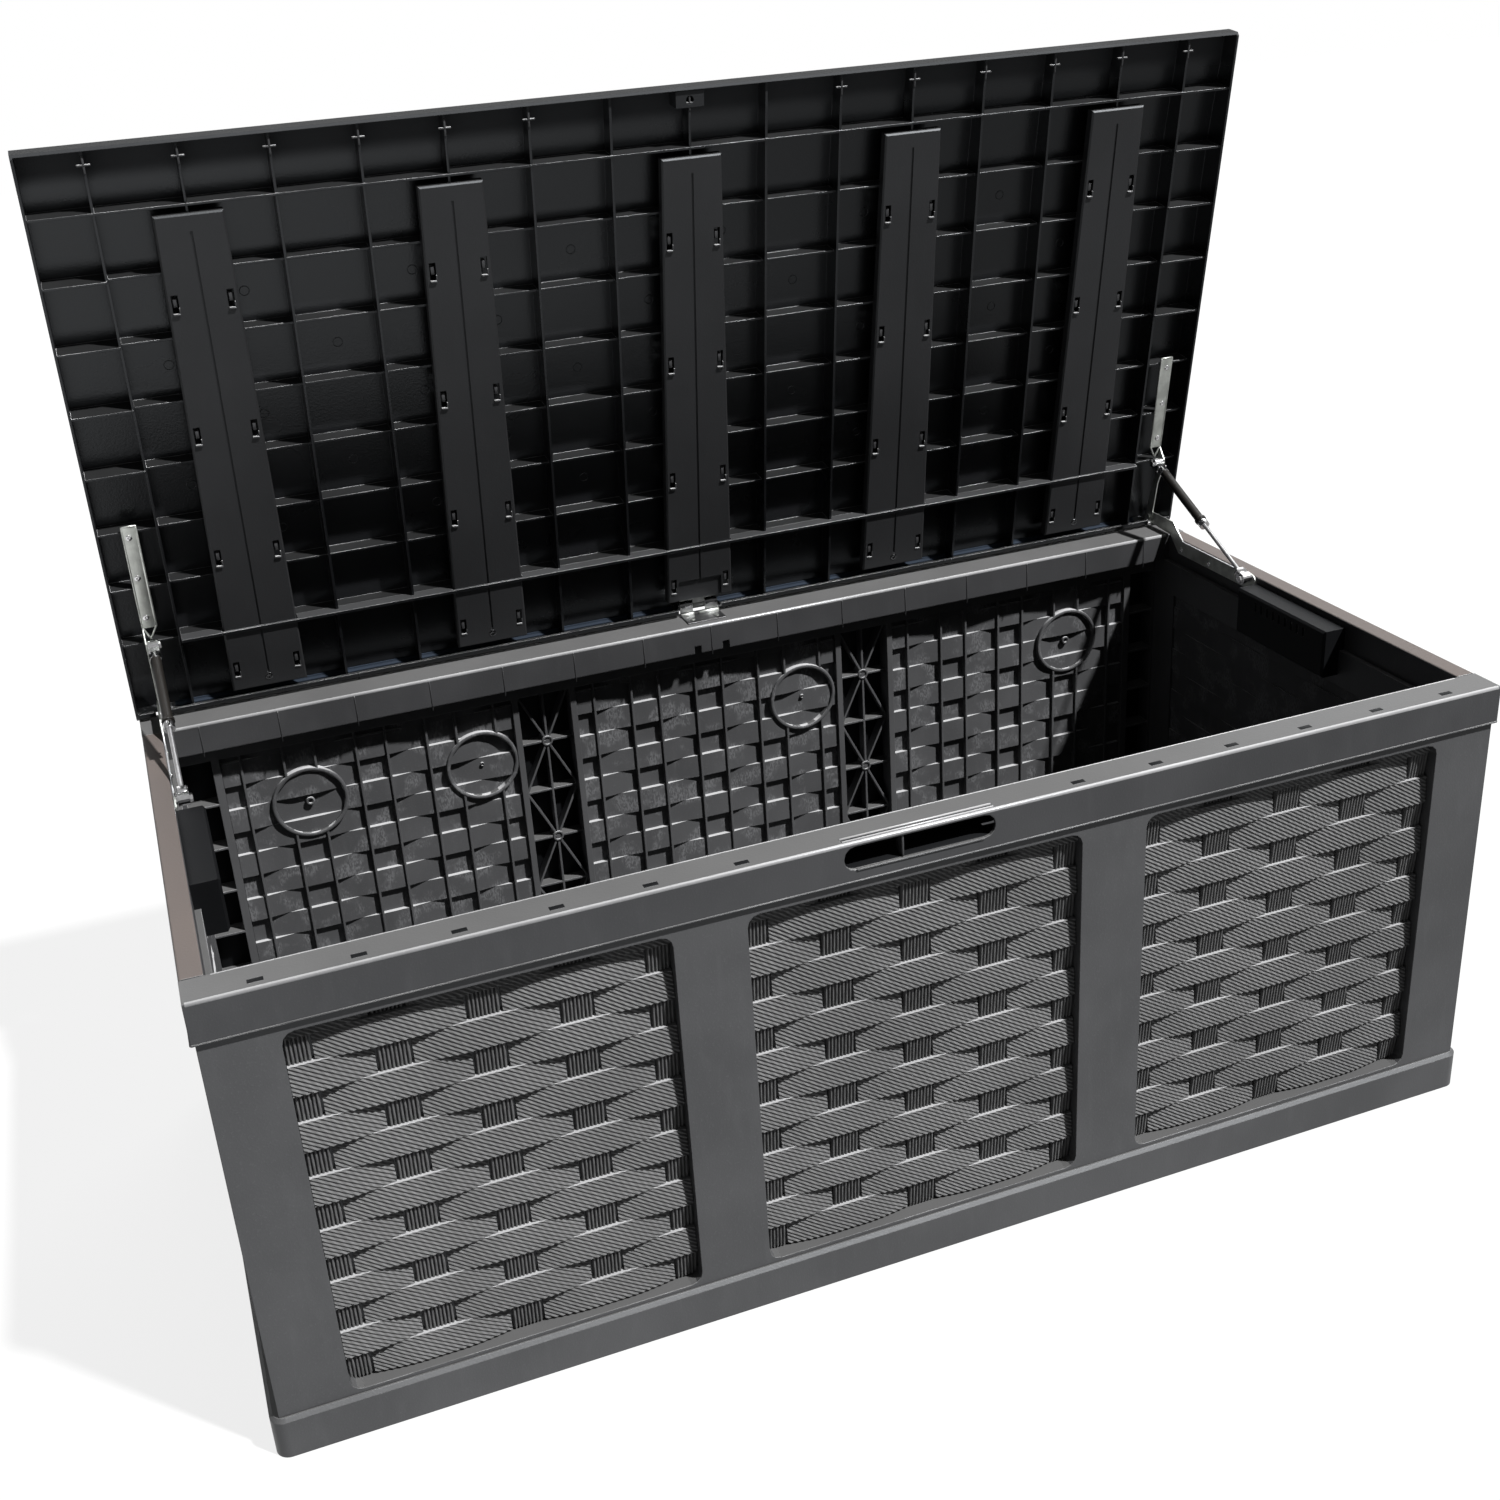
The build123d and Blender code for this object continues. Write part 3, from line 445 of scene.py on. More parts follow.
def inner_relief(width, top, fields, rise):
    """The inside of the weave: rows that are hollow behind a band and stand out behind a bare strip."""
    side_gap = 0.0004
    proud = 0.0003
    half = width / 2 - wall_skin - side_gap
    back = recess + wall_skin
    rows = int((top - first_row) / row_pitch)
    last = top - wall_skin - first_row - rows * row_pitch - gap
    reach = int(half / column_pitch) + 1
    meshes = []
    for start in (0, 1):
        places = []
        for column in range(-reach, reach + 1):
            out = back + proud + rise * ((column + start + 1) % 2)
            for edge in (-strip_width / 2, strip_width / 2):
                places.append((column * column_pitch + edge, out))
        inside = [place for place in places if abs(place[0]) < half]
        ends = [(-half, inside[0][1]), *inside, (half, inside[-1][1])]
        for first, end, tall in ((start, rows, row_pitch), (rows, rows + 1, last)):
            if (first - start) % 2 == 0:
                points = [(x, out, z) for x, out in ends for z in (0.0, tall)]
                row = sheet_mesh("row", points, 2, back - tuck, -half, half)
                meshes.append(up_the_wall(row, first, end, fields, 0, relief))
    return meshes


# Width and top of a field, how many a wall has, and how far the relief stands out inside
long_wall = (0.403, 0.520, 3)
short_wall = (0.552, 0.494, 1)
deep_relief = 0.0060
shallow_relief = 0.0020
for wall, turn, distance, field, rise in (
    ("front", 0, face_y, long_wall, deep_relief),
    ("right", 90, face_x, short_wall, shallow_relief),
    ("back", 180, face_y, long_wall, deep_relief),
    ("left", 270, face_x, short_wall, shallow_relief),
):
    stand = Matrix.Rotation(radians(turn), 4, "Z") @ Matrix.Translation((0, -distance, 0))
    outside = weave(*field)
    inside = inner_relief(*field, rise)
    for mesh in outside + inside:
        mesh.transform(stand)
    piece(f"{wall}_weave", outside, woven, "box")
    piece(f"{wall}_inner_relief", inside, relief, "box")


# Inside of the back wall
# Four rings are moulded on it, each with a small boss in the middle. Behind the stiles and beside the
# corners the ribs stand before near-black blocks, painted shade for the deep pockets there, and a hollow
# hub sits where they cross.
def block(low, high, soft):
    """Box between two corners with rounded edges."""
    solid = bmesh.new()
    size = [b - a for a, b in zip(low, high)]
    middle = [(a + b) / 2 for a, b in zip(low, high)]
    bmesh.ops.create_cube(solid, size=1, matrix=Matrix.Translation(middle) @ Matrix.Diagonal((*size, 1)))
    bmesh.ops.bevel(solid, geom=solid.edges[:], offset=soft, segments=2, profile=0.5, affect="EDGES")
    return mesh_of("block", solid)


def turned(outline, steps):
    """Solid of revolution about z, from a closed outline of radius and height."""
    solid = bmesh.new()
    rings = []
    for step in range(steps):
        angle = 2 * pi * step / steps
        rings.append([solid.verts.new((r * cos(angle), r * sin(angle), z)) for r, z in outline])
    for step in range(steps):
        here = rings[step]
        there = rings[(step + 1) % steps]
        for i in range(len(outline)):
            solid.faces.new((here[i], there[i], there[i - 1], here[i - 1]))
    bmesh.ops.remove_doubles(solid, verts=solid.verts, dist=1e-7)
    bmesh.ops.dissolve_degenerate(solid, dist=1e-7, edges=solid.edges)
    return mesh_of("turned", solid)


def hoop(outer, inner, tall, steps):
    """Ring with softened edges, standing on z = 0."""
    soft = (outer - inner) / 3
    outline = (
        (outer, 0),
        (outer, tall - soft),
        (outer - 0.3 * soft, tall - 0.3 * soft),
        (outer - soft, tall),
        (inner + soft, tall),
        (inner + 0.3 * soft, tall - 0.3 * soft),
        (inner, tall - soft),
        (inner, 0),
    )
    return turned(outline, steps)


ring_foot = face_y - recess - wall_skin + tuck
ring_level = 0.427
large_boss = 0.006
small_boss = 0.003
rings = []
for x, boss in ((-0.577, large_boss), (-0.339, small_boss), (0.143, small_boss), (0.584, large_boss)):
    ring = hoop(outer=0.0512, inner=0.0458, tall=0.0108, steps=64)
    middle = hoop(outer=boss, inner=boss / 2, tall=0.007, steps=24)
    for part in (ring, middle):
        part.transform(Matrix.Translation((x, ring_foot, ring_level)) @ upright)
        rings.append(part)
piece("back_wall_rings", rings, relief, "box")

hub_foot = 0.352
hub_level = 0.288
hub_pitch = 0.152
hub = hoop(outer=0.0080, inner=0.0048, tall=0.0205, steps=24)
hubs = grid_of(hub, 2, 3, field_pitch, 2 * hub_pitch, relief)
hubs.transform(Matrix.Translation((0, hub_foot, hub_level)) @ upright)
piece("stile_hubs", [hubs], relief, "box")

# Near-black resin used as painted shade: behind the stiles, in the grip and slots, and on the hand cups
shade_colour = (0.005, 0.0052, 0.0058)
shade_edge_highlight = (0.03, 0.03, 0.031)
shade_resin = moulded_resin(
    "shade_resin", shade_colour, shade_colour, shade_edge_highlight, roughness=0.5, edge=0.0008,
    dust_and_highlight_share=0.5, gloss=0.15,
)
corner_x = 0.714
corner_half = 0.0196
stile_x = field_pitch / 2
stile_half = 0.0366
lining_front = 0.3500
lining_back = 0.3545
lining_foot = 0.0615
lining_top = 0.5155
shade_linings = []
for place, half in ((corner_x, corner_half), (stile_x, stile_half)):
    for x in (-place, place):
        low = (x - half, lining_front, lining_foot)
        high = (x + half, lining_back, lining_top)
        shade_linings.append(block(low, high, 0.0010))
piece("stile_shade_linings", shade_linings, shade_resin, "box")


# Rails
# Four hollow cap mouldings close the walls' tops, in the same resin. Their wide tops catch most dust, and
# a small bead runs along their lower edge.
rail_colour = (0.050, 0.0503, 0.0525)
rail_dust = (0.114, 0.113, 0.112)
earth_dust = (0.115, 0.095, 0.086)
# Pale grey painted on the rails' upward edges as a highlight
rail_edge_highlight = (0.55, 0.55, 0.55)
rail_resin = moulded_resin("rail_resin", rail_colour, rail_dust, rail_edge_highlight, roughness=0.34, edge=0.0022)
side_resin = moulded_resin(
    "dusty_rail_resin", rail_colour, earth_dust, rail_edge_highlight, roughness=0.40, edge=0.0016, dust_and_highlight_share=1.1
)
dress(rail_resin, "front_rail", "rear_rail")
dress(side_resin, "left_rail", "right_rail")

bead = 0.0022
edge_soft = 0.0008
rail_x = 0.770
rail_y = 0.362
rail_foot = 0.532
beads = []
for side in (-1, 1):
    x0, x1 = sorted((side * (rail_x - bead), side * (rail_x + bead / 2)))
    y0, y1 = sorted((side * (rail_y - bead), side * (rail_y + bead / 2)))
    beads.append(block((-rail_x, y0, rail_foot), (rail_x, y1, rail_foot + bead), edge_soft))
    beads.append(block((x0, -rail_y, rail_foot), (x1, rail_y, rail_foot + bead), edge_soft))
piece("rail_beads", beads, rail_resin, "box")

# The front grip has a raised lower lip and a rib inside, and thin seams run down the rear rail's flange
clip_pitch = 0.1
grip_half = 0.076
grip_lip = block((-grip_half, -0.3634, 0.5452), (grip_half, -0.3600, 0.5476), edge_soft)
grip_rib = block((-0.0215, -0.3600, 0.5480), (-0.0190, -0.3440, 0.5740), edge_soft)
seam = block((-0.0006, 0.2993, 0.5345), (0.0006, 0.3010, 0.5770), 0.0003)
lips = [grip_lip, grip_rib, row_of(seam, 15, clip_pitch, rail_resin)]
piece("rail_lips", lips, rail_resin, "box")


def peg(radius, length, soft, steps):
    """Round bar along z from 0 with softened ends."""
    outline = (
        (0, 0),
        (radius - soft, 0),
        (radius, soft),
        (radius, length - soft),
        (radius - soft, length),
        (0, length),
    )
    return turned(outline, steps)


def bar(start, end, radius):
    """Round bar between two points."""
    run = Vector(end) - Vector(start)
    made = peg(radius, run.length, radius / 3, 24)
    made.transform(Matrix.Translation(start) @ run.to_track_quat("Z", "Y").to_matrix().to_4x4())
    return made


# Smooth glossy rounds along the rim and the two lips of the finger slit, their pale grey a painted
# highlight
rim_highlight_colour = (0.26, 0.26, 0.265)
rim_highlight_resin = moulded_resin(
    "rim_highlight_resin", rim_highlight_colour, rail_edge_highlight, rail_edge_highlight, roughness=0.20, edge=0.0003, dust_and_highlight_share=0.6, gloss=0.6
)
rim = 0.580
slit_reach = 0.090
slit_level = rim - 0.0002
slit_radius = 0.0014
front_reach = 0.768
inner_reach = 0.740
round_level = rim - 0.0025
round_radius = 0.0027
rounds = []
for y, reach, level, radius in (
    (-0.3562, slit_reach, slit_level, slit_radius),
    (-0.3498, slit_reach, slit_level, slit_radius),
    (-0.3595, front_reach, round_level, round_radius),
    (-0.3185, inner_reach, round_level, round_radius),
    (0.3025, inner_reach, round_level, round_radius),
):
    rounds.append(bar((-reach, y, level), (reach, y, level), radius))
piece("rim_rounds", rounds, rim_highlight_resin, "box")

# Near-black blocks painted as shade under the clip slots along the rim, and at the back, floor and roof of
# the front grip
grip_reach = 0.088
grip_front = -0.3575
grip_back = -0.3219
shade_blocks = [
    block((-grip_reach, grip_back, 0.5460), (grip_reach, grip_back + 0.0005, 0.5765), 0.0002),
    block((-grip_reach, grip_front, 0.5462), (grip_reach, grip_back, 0.5472), 0.0004),
    block((-grip_reach, grip_front, 0.5752), (grip_reach, grip_back, 0.5758), 0.0002),
]
clips_beside = 6
clips_middle = 4.5 * clip_pitch
for side in (-1, 1):
    shade_block = block((-0.0080, -0.3516, rim - 0.004), (0.0080, -0.3444, rim + 0.0003), 0.0004)
    shade_blocks.append(row_of(shade_block, clips_beside, clip_pitch, shade_resin, side * clips_middle))
piece("rail_shade_blocks", shade_blocks, shade_resin, "box")


# Hand cups
# Thin shells, each one moulding, clipped behind the side grips, painted near-black for the shade they sit
# in.
# Vents along the top let water and air through.
dress(shade_resin, "left_hand_cup", "right_hand_cup")


# Lid
# One large moulding, crowned outside and ribbed underneath, with tapered beams screwed and snapped over
# the ribs and a bar across them near the hinge.
black_colour = (0.0065, 0.0067, 0.0075)
black_dust = (0.0090, 0.0088, 0.0086)
# Pale edge colour painted on the lid's upward edges and rib crests as a highlight
black_edge_highlight = (0.85, 0.85, 0.86)
beam_colour = (0.0160, 0.0161, 0.0170)
# Faint highlight painted on the beams' edges
beam_edge_highlight = (0.04, 0.04, 0.041)
# Lighter colour painted on the cross bar's upward faces as a highlight
bar_top_highlight = (0.060, 0.060, 0.061)
front_lip = 1.255
lid_resin = moulded_resin(
    "black_resin", black_colour, black_dust, black_edge_highlight, roughness=0.28, edge=0.0010,
    gloss=0.5, dull_above=front_lip,
)
beam_resin = moulded_resin(
    "beam_resin", beam_colour, black_dust, beam_edge_highlight, roughness=0.50, edge=0.0006, gloss=0.45
)
bar_resin = moulded_resin(
    "bar_resin", black_colour, bar_top_highlight, black_edge_highlight, roughness=0.34, edge=0.0012, dust_and_highlight_share=0.7, gloss=0.5
)
dress(lid_resin, "lid_panel")
dress(bar_resin, "lid_cross_bar")
dress(beam_resin, *[f"lid_beam_{number}" for number in range(1, 6)])

# Places on the lid are measured along x, from the hinge line to the front lip, and out of its underside
hinge_y = 0.353
hinge_z = 0.594
lid_lean = radians(81)
on_lid = Matrix((
    (1, 0, 0, 0),
    (0, -cos(lid_lean), -sin(lid_lean), hinge_y),
    (0, sin(lid_lean), -cos(lid_lean), hinge_z),
    (0, 0, 0, 1),
))


def on_the_lid(meshes):
    for mesh in meshes:
        mesh.transform(on_lid)
    return meshes


# Ribs go on past the ends of the beams, the middle one less far
beam_pitch = 0.3
beams = 5
beam_end = 0.630
rib_half = 0.0015
rib_ends = []
for number in range(-2, 3):
    x = number * beam_pitch
    reach = 0.711 if number else 0.688
    rib_ends.append(block((x - rib_half, beam_end, -0.016), (x + rib_half, reach, 0.008), 0.0004))
piece("lid_rib_ends", on_the_lid(rib_ends), lid_resin, "lid")


def beam_half(v):
    """Half the width of a beam, which narrows towards the front of the lid."""
    rear_half = 0.048
    front_half = 0.039
    beam_length = 0.632
    return rear_half - (rear_half - front_half) * v / beam_length


# Snap hooks of the lid stand in the slots of the beams, with a lip that catches the light, and a small
# cross marks the end of most ribs at the front lip
# The hooks' pale tops and edges are a painted highlight
hook_colour = (0.05, 0.05, 0.052)
hook_lip_highlight = (0.5, 0.5, 0.5)
hook_edge_highlight = (0.6, 0.6, 0.6)
hook_resin = moulded_resin("hook_resin", hook_colour, hook_lip_highlight, hook_edge_highlight, roughness=0.3, edge=0.0008)
cross_foot = 0.0055
cross_top = 0.0094
hooks = []
for middle, count in ((-clips_middle, clips_beside), (0.0, 1), (clips_middle, clips_beside)):
    level_arm = block((-0.0075, 0.6940, cross_foot), (0.0075, 0.6962, cross_top), 0.0006)
    upright_arm = block((-0.0012, 0.6860, cross_foot), (0.0012, 0.7050, cross_top), 0.0005)
    for arm in (level_arm, upright_arm):
        hooks.append(row_of(arm, count, clip_pitch, hook_resin, middle))
hook_inset = 0.009
lip_foot = 0.0115
for v, crest in ((0.040, 0.0137), (0.203, 0.0152), (0.367, 0.0152), (0.530, 0.0152)):
    for side in (-1, 1):
        tongue = block((-0.0024, v - 0.004, 0.002), (0.0024, v + 0.006, 0.0112), 0.0005)
        lip = block((-0.0042, v - 0.0135, lip_foot), (0.0042, v - 0.0105, crest), 0.0008)
        cheek = block((0.0030, v - 0.0115, lip_foot), (0.0046, v - 0.004, crest - 0.0006), 0.0006)
        for part in (tongue, lip, cheek):
            middle = side * (beam_half(v) - hook_inset)
            hooks.append(row_of(part, beams, beam_pitch, hook_resin, middle))
piece("lid_snap_hooks", on_the_lid(hooks), hook_resin, "lid")

# Round ejector marks in the floors of every second bay, as on a chessboard
bay_x = 0.1
bay_v = 0.0778
bay_start = 0.6415
bay_floor = -0.0217
marks = []
for column, row in ((0.5, 3.5), (-0.5, 4.5)):
    mark = hoop(outer=0.0062, inner=0.0052, tall=0.0009, steps=20)
    half_board = grid_of(mark, 7, 3, 12 * bay_x, 4 * bay_v, lid_resin)
    half_board.transform(Matrix.Translation((column * bay_x, bay_start - row * bay_v, bay_floor)))
    marks.append(half_board)
piece("lid_ejector_marks", on_the_lid(marks), lid_resin, "lid")


def prism(outline, low, high):
    """Bar along x between two places, from a closed outline in y and z."""
    solid = bmesh.new()
    ends = [[solid.verts.new((x, y, z)) for y, z in outline] for x in (low, high)]
    for i in range(len(outline)):
        solid.faces.new((ends[0][i], ends[1][i], ends[1][i - 1], ends[0][i - 1]))
    solid.faces.new(ends[0])
    solid.faces.new(ends[1])
    return mesh_of("prism", solid)


# The hollow corner along the rear edge is a matte quarter round, open at the middle hinge; its bluish tint
# is a painted sky reflection
roll_reflection_blue = (0.018, 0.025, 0.037)
roll_reflection_resin = moulded_resin(
    "roll_sky_reflection", roll_reflection_blue, roll_reflection_blue, roll_reflection_blue, roughness=0.8, edge=0.0003,
    dust_and_highlight_share=0.0, gloss=0.15,
)
roll_steps = 8
roll_v = -0.0045
roll_n = -0.0085
roll_end = 0.722
hinge_gap = 0.034
quarter = []
for radius, order in ((0.0036, range(roll_steps + 1)), (0.0054, range(roll_steps, -1, -1))):
    for step in order:
        angle = radians(180 + 90 * step / roll_steps)
        quarter.append((radius * cos(angle) + roll_v, radius * sin(angle) + roll_n))
rolls = [prism(quarter, -roll_end, -hinge_gap), prism(quarter, hinge_gap, roll_end)]
piece("lid_roll_lining", on_the_lid(rolls), roll_reflection_resin, "lid")


# Hinge and strut hardware
# Stamped and galvanised sheet steel, held by pan-head screws. Pins, rods and ball ends are chromed, and
# the gas tubes are painted black.
def bare_metal(name, colour, roughness, spread, metallic=1.0):
    finish = Finish(name)
    cloud = finish.noise(55.0, 4.0)
    streak = finish.noise(160.0, 2.0, (1, 1, 0.06))
    tone = finish.blend(cloud.ramp(0.35, 0.65), tinted(colour, 0.82), tinted(colour, 1.08))
    finish.feed(finish.shader, {
        "Base Color": tone,
        "Metallic": metallic,
        "Roughness": roughness + (streak - 0.5) * spread,
        "Normal": finish.grain(cloud, 0.08, 0.0004, finish.rounded(0.0006)),
    })
    return finish.material


zinc = bare_metal("galvanised_sheet", (0.60, 0.62, 0.585), 0.42, 0.25)
bright_zinc = bare_metal("plated_edge", (0.72, 0.73, 0.75), 0.40, 0.25, metallic=0.45)
dull_zinc = bare_metal("dull_galvanised_sheet", (0.10, 0.102, 0.10), 0.5, 0.25)
hinge_steel = bare_metal("hinge_steel", (0.30, 0.30, 0.305), 0.40, 0.25)
dark_steel = bare_metal("dark_steel", (0.16, 0.16, 0.165), 0.26, 0.12)
chrome = bare_metal("chromed_steel", (0.78, 0.78, 0.79), 0.2, 0.12)
satin = bare_metal("satin_rod_steel", (0.82, 0.82, 0.83), 0.38, 0.12)
paint_colour = (0.014, 0.0125, 0.011)
paint_dust = (0.030, 0.026, 0.023)
# Pale grey painted on upward edges as a highlight
paint_edge_highlight = (0.12, 0.12, 0.12)
black_paint = moulded_resin(
    "black_paint", paint_colour, paint_dust, paint_edge_highlight, roughness=0.30, edge=0.0008,
    dust_and_highlight_share=0.4, gloss=0.5,
)
dress(hinge_steel, "hinge_lower_leaf")
dress(dull_zinc, "hinge_upper_leaf", "hinge_lid_screws")
dress(chrome, "hinge_pin")
for side in ("left", "right"):
    dress(zinc, f"{side}_wall_arm", f"{side}_lid_arm", f"{side}_arm_rivet")
    dress(chrome, f"{side}_wall_stud", f"{side}_rod_eye", f"{side}_tube_eye")
    dress(satin, f"{side}_strut_rod")
    dress(black_paint, f"{side}_strut_tube")


# Rolled knuckles on the hinge pin, and the rolled foot of the lower leaf
def roll(start, length, radius, soft, steps, y, z):
    """Round bar along x from this place."""
    made = peg(radius, length, soft, steps)
    made.transform(Matrix.Translation((start, y, z)) @ Matrix.Rotation(radians(90), 4, "Y"))
    return made


leaf_end = 0.0280
outer_knuckle = 0.0185
knuckle = {"radius": 0.0063, "soft": 0.0008, "steps": 32, "y": hinge_y, "z": hinge_z}
left_knuckle = roll(-leaf_end, outer_knuckle, **knuckle)
middle_knuckle = roll(-0.0088, 0.0176, **knuckle)
right_knuckle = roll(leaf_end - outer_knuckle, outer_knuckle, **knuckle)
foot = {"radius": 0.0022, "soft": 0.0006, "steps": 20, "y": hinge_y - 0.0100, "z": rim + 0.0035}
feet = [roll(-leaf_end, 0.0190, **foot), roll(-0.0020, 0.0300, **foot)]
piece("hinge_knuckles", [left_knuckle, right_knuckle], dark_steel, "box")
piece("hinge_middle_knuckle", [middle_knuckle], dull_zinc, "lid")
piece("hinge_rolled_foot", feet, zinc, "box")


# Pan-head screws: three hold each wall arm and each lid arm, one each outer beam, and two the lower leaf
def screw(head, dome, length):
    """Screw with its seat at z = 0 and its head above it."""
    shank = 0.002
    outline = (
        (0, -length),
        (shank, -length),
        (shank, 0),
        (head, 0),
        (head, 0.45 * dome),
        (0.8 * head, 0.85 * dome),
        (0.4 * head, dome),
        (0.22 * head, 0.4 * dome),
        (0, 0.4 * dome),
    )
    return turned(outline, 24)


wall_screw_x = 0.743
wall_screw_pitch = 0.070
wall_screws = []
for side in (-1, 1):
    wall_screw = screw(head=0.0036, dome=0.0013, length=0.006)
    line = grid_of(wall_screw, 1, 3, 0, 2 * wall_screw_pitch, chrome)
    inward = Matrix.Rotation(radians(-90 * side), 4, "Y")
    line.transform(Matrix.Translation((side * wall_screw_x, 0.195, 0.565)) @ inward)
    wall_screws.append(line)
lid_screw_x = 0.7352
lid_screw_pitch = 0.056
lid_screw = screw(head=0.0040, dome=0.0013, length=0.003)
lid_screws = grid_of(lid_screw, 2, 3, 2 * lid_screw_x, 2 * lid_screw_pitch, chrome)
lid_screws.transform(Matrix.Translation((0, 0.190, 0.005)))
beam_face = 0.013
beam_screws = []
for side in (-1, 1):
    beam_screw = screw(head=0.0050, dome=0.0008, length=0.010)
    pair = row_of(beam_screw, 2, beam_pitch, dark_steel, side * 1.5 * beam_pitch)
    pair.transform(Matrix.Translation((0, 0.022, beam_face)))
    beam_screws.append(pair)
leaf_screw_pitch = 0.036
leaf_screws = row_of(screw(head=0.0040, dome=0.0008, length=0.004), 2, leaf_screw_pitch, zinc)
leaf_screws.transform(Matrix.Translation((0, hinge_y - 0.028, rim + 0.002)))
piece("wall_arm_pan_screws", wall_screws, chrome, "box", ["wall_arm_screws"])
piece("lid_arm_pan_screws", on_the_lid([lid_screws]), chrome, "lid", ["lid_arm_screws"])
piece("beam_pan_screws", on_the_lid(beam_screws), dark_steel, "lid", ["beam_screws"])
piece("hinge_pan_screws", [leaf_screws], zinc, "box", ["hinge_screws"])

# Each wall arm is a strap with rolled edges that steps up to the hinge line
arm_x = 0.7441
arm_edge = 0.0011
top_edge = ((0.099, 0.5778), (0.262, 0.5778), (0.288, 0.6005))
low_edge = ((0.099, 0.5585), (0.272, 0.5585), (0.294, 0.5805))
edges = []
for x in (-arm_x, arm_x):
    for line in (top_edge, low_edge):
        for start, end in zip(line, line[1:]):
            edges.append(bar((x, *start), (x, *end), arm_edge))
piece("wall_arm_edges", edges, bright_zinc, "box")

# The lid arm's plate has a pressed rim on both long sides, which runs together in a fork at the stud
plate_inner = 0.7240
plate_outer = 0.7432
plate_end = 0.2610
fork_x = 0.7345
rim_inset = 0.0010
rim_level = 0.0046
rim_radius = 0.0013
plates = []
for side in (-1, 1):
    low, high = sorted((side * plate_inner, side * plate_outer))
    plates.append(block((low, 0.119, 0.0032), (high, plate_end + 0.0010, 0.0053), edge_soft))
    left = low + rim_inset
    right = high - rim_inset
    plates.append(bar((left, plate_end, rim_level), (right, plate_end, rim_level), rim_radius))
    for x in (left, right):
        plates.append(bar((x, 0.120, rim_level), (x, plate_end, rim_level), rim_radius))
        plates.append(bar((x, 0.121, rim_level), (side * fork_x, 0.103, rim_level), rim_radius))
piece("lid_arm_rims", on_the_lid(plates), zinc, "lid")

# Ferrules and seal of each gas strut, and the block that ends its rod
strut_x = 0.734
stud_y = 0.095
stud_z = 0.577
strut_rise = radians(25.7825)
strut_length = 0.25431
tube_length = 0.142
tube_start = strut_length - tube_length
for side, x in (("left", -strut_x), ("right", strut_x)):
    lower = hoop(outer=0.0072, inner=0.0034, tall=0.010, steps=28)
    lower.transform(Matrix.Translation((0, 0, tube_start - 0.001)))
    seal = hoop(outer=0.0082, inner=0.0060, tall=0.0045, steps=28)
    seal.transform(Matrix.Translation((0, 0, tube_start + 0.0105)))
    upper = hoop(outer=0.0070, inner=0.0060, tall=0.009, steps=28)
    upper.transform(Matrix.Translation((0, 0, tube_start + 0.1185)))
    holder = block((-0.0062, -0.0052, 0.006), (0.0062, 0.0052, 0.0172), 0.0014)
    along_strut = Matrix.Rotation(strut_rise - radians(90), 4, "X")
    for mesh in (lower, upper, seal, holder):
        mesh.transform(Matrix.Translation((x, stud_y, stud_z)) @ along_strut)
    piece(f"{side}_strut_ferrules", [lower, upper], chrome, f"{side}_tube")
    piece(f"{side}_strut_seal", [seal], black_paint, f"{side}_tube")
    piece(f"{side}_rod_block", [holder], chrome, f"{side}_rod")


# Floor, light and camera
# A pale studio floor under a small high key from the upper right, a soft fill from behind, and a white
# surround. What looks at the floor directly sees it white, with the shadow on it; in a reflection it fades
# from white on the left to dim on the right, a painted falloff of light.
floor_reach = 12.0
floor_level = -0.0002
corners = [(x * floor_reach, y * floor_reach, floor_level) for x, y in ((-1, -1), (1, -1), (1, 1), (-1, 1))]
floor_mesh = bpy.data.meshes.new("floor")
floor_mesh.from_pydata(corners, [], [(0, 1, 2, 3)])
floor = bpy.data.objects.new("floor", floor_mesh)
bpy.context.collection.objects.link(floor)

pale = Finish("pale_floor")
pale.feed(pale.shader, {
    "Base Color": pale.blend(pale.noise(3.0), (0.10, 0.10, 0.10), (0.12, 0.12, 0.12)),
    "Roughness": 0.9,
    "Specular IOR Level": 0.1,
})
white = pale.tree.nodes.new("ShaderNodeBsdfPrincipled")
pale.feed(white, {
    "Base Color": (0.12, 0.12, 0.12, 1),
    "Roughness": 0.9,
    "Specular IOR Level": 0.0,
    "Emission Color": (1, 1, 1, 1),
    "Emission Strength": 0.82,
})
camera_ray = pale.add("ShaderNodeLightPath", output="Is Camera Ray")
glossy_ray = pale.add("ShaderNodeLightPath", output="Is Glossy Ray")
# Glossy rays see the floor fade towards the right, a painted falloff of light in its reflections
floor_falloff_to_the_right = pale.part_of(pale.place(), "X").ramp(-0.9, 1.8)
which = pale.tree.nodes.new("ShaderNodeMixShader")
pale.feed(which, {0: camera_ray + glossy_ray * (0.95 - floor_falloff_to_the_right * 0.8)})
pale.tree.links.new(pale.shader.outputs["BSDF"], which.inputs[1])
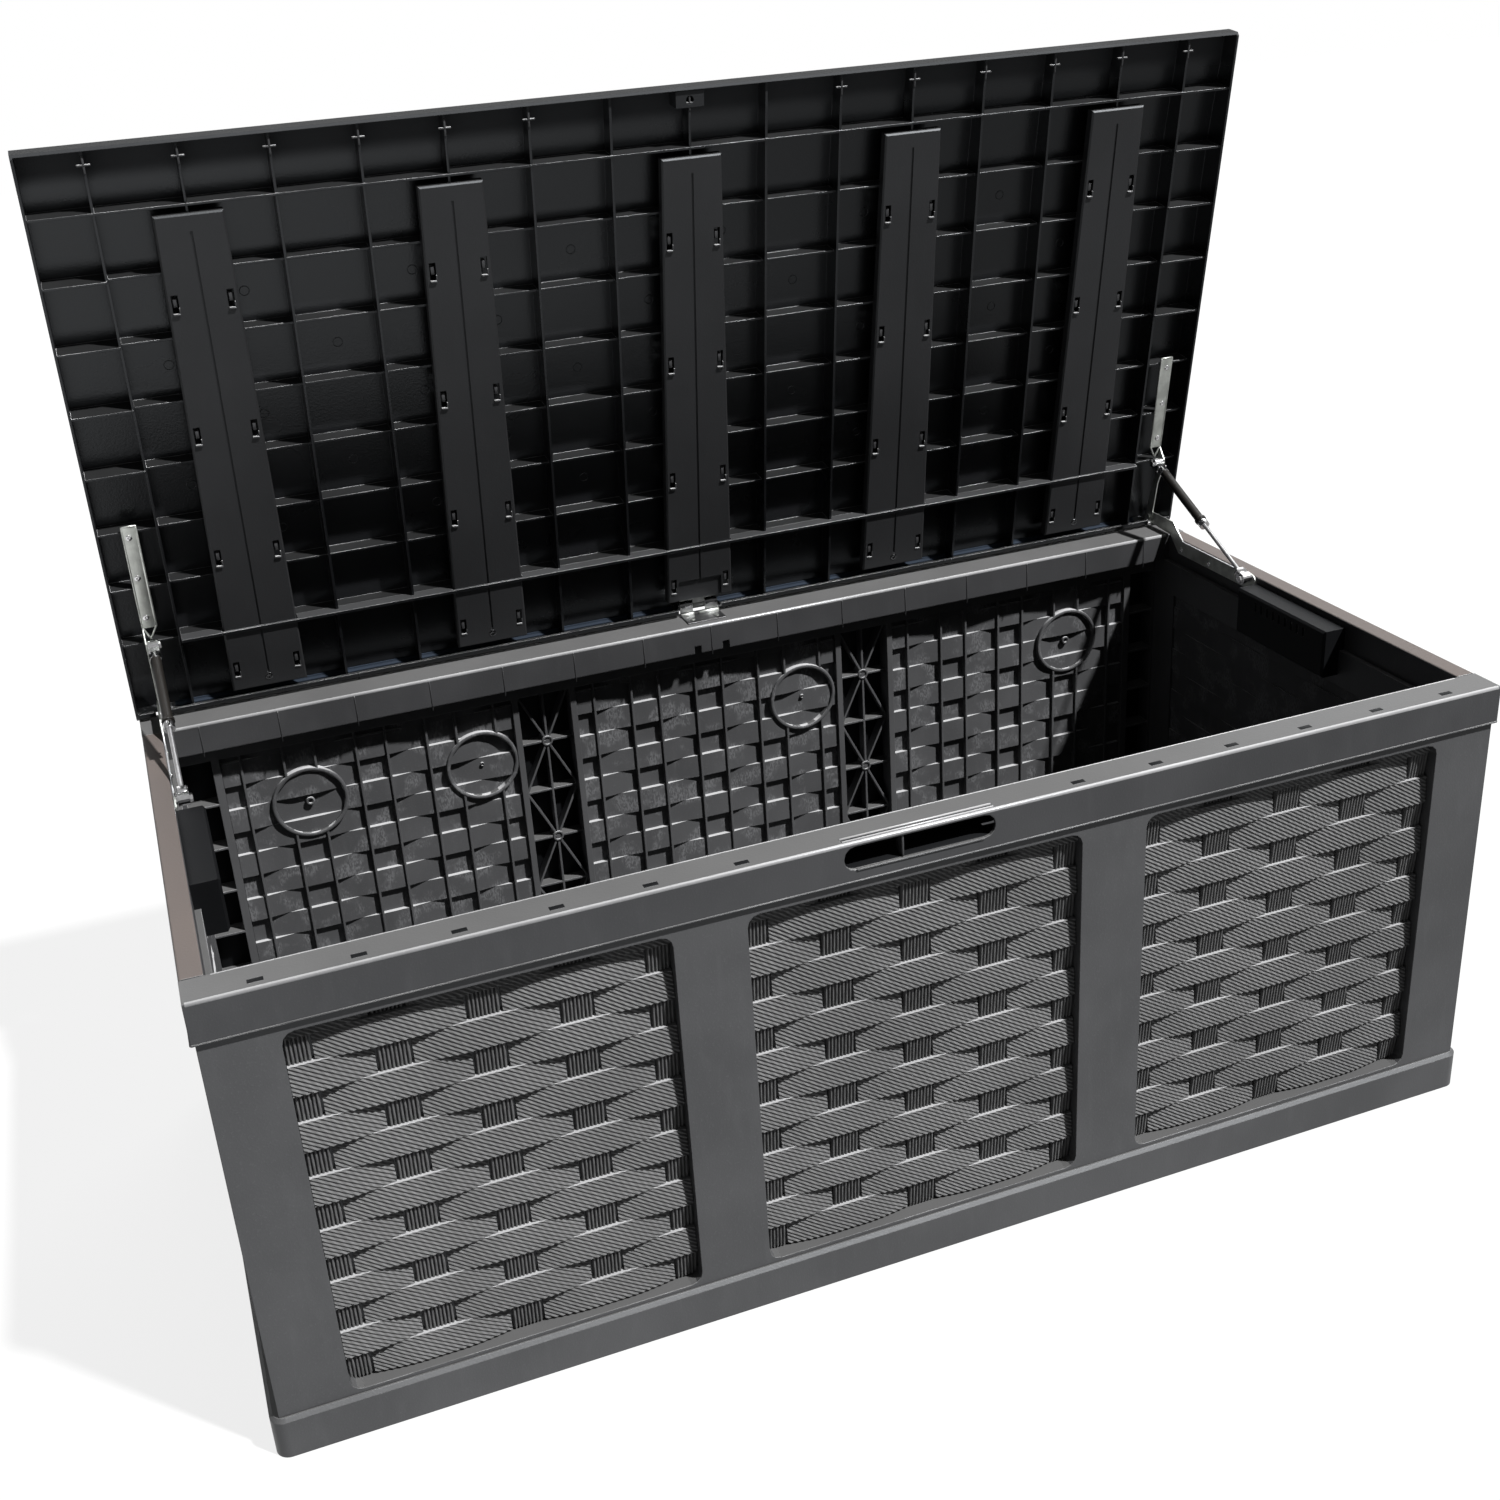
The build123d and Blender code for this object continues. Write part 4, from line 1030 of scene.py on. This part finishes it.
pale.tree.links.new(white.outputs["BSDF"], which.inputs[2])
pale.tree.links.new(which.outputs["Shader"], pale.output.inputs["Surface"])
floor_mesh.materials.append(pale.material)

world = bpy.data.worlds.new("white_surround")
bpy.context.scene.world = world
world.use_nodes = True
nodes = world.node_tree.nodes
links = world.node_tree.links
nodes.clear()
surround = nodes.new("ShaderNodeOutputWorld")
rays = nodes.new("ShaderNodeLightPath")
backdrop = nodes.new("ShaderNodeMixShader")
sheen = nodes.new("ShaderNodeMixShader")
lit = {}
for name, strength in (("dim", 0.03), ("glossy", 0.30), ("white", 1.0)):
    lit[name] = nodes.new("ShaderNodeBackground")
    lit[name].inputs["Color"].default_value = (1, 1, 1, 1)
    lit[name].inputs["Strength"].default_value = strength
links.new(rays.outputs["Is Glossy Ray"], sheen.inputs[0])
links.new(lit["dim"].outputs[0], sheen.inputs[1])
links.new(lit["glossy"].outputs[0], sheen.inputs[2])
links.new(rays.outputs["Is Camera Ray"], backdrop.inputs[0])
links.new(sheen.outputs[0], backdrop.inputs[1])
links.new(lit["white"].outputs[0], backdrop.inputs[2])
links.new(backdrop.outputs[0], surround.inputs["Surface"])

for name, strength, spread, side in (
    ("key", 6.6, 2.5, (0.95, -1.0, 1.9)),
    ("soft_fill_behind", 2.6, 70.0, (0.30, 1.0, 0.70)),
):
    light = bpy.data.lights.new(name, "SUN")
    light.energy = strength
    light.angle = radians(spread)
    lamp = bpy.data.objects.new(name, light)
    lamp.rotation_euler = Vector(side).to_track_quat("Z", "Y").to_euler()
    bpy.context.collection.objects.link(lamp)

lens = bpy.data.cameras.new("photo_angle")
lens.sensor_width = 36.0
lens.lens = 41.7606
lens.shift_x = 0.019009
lens.shift_y = -0.039587
camera = bpy.data.objects.new("photo_angle", lens)
camera.location = (-0.71252, -1.84878, 1.47862)
camera.rotation_euler = (radians(66.090), radians(3.7214), radians(-20.2094))
bpy.context.collection.objects.link(camera)
bpy.context.scene.camera = camera
bpy.context.scene.view_settings.view_transform = "Standard"
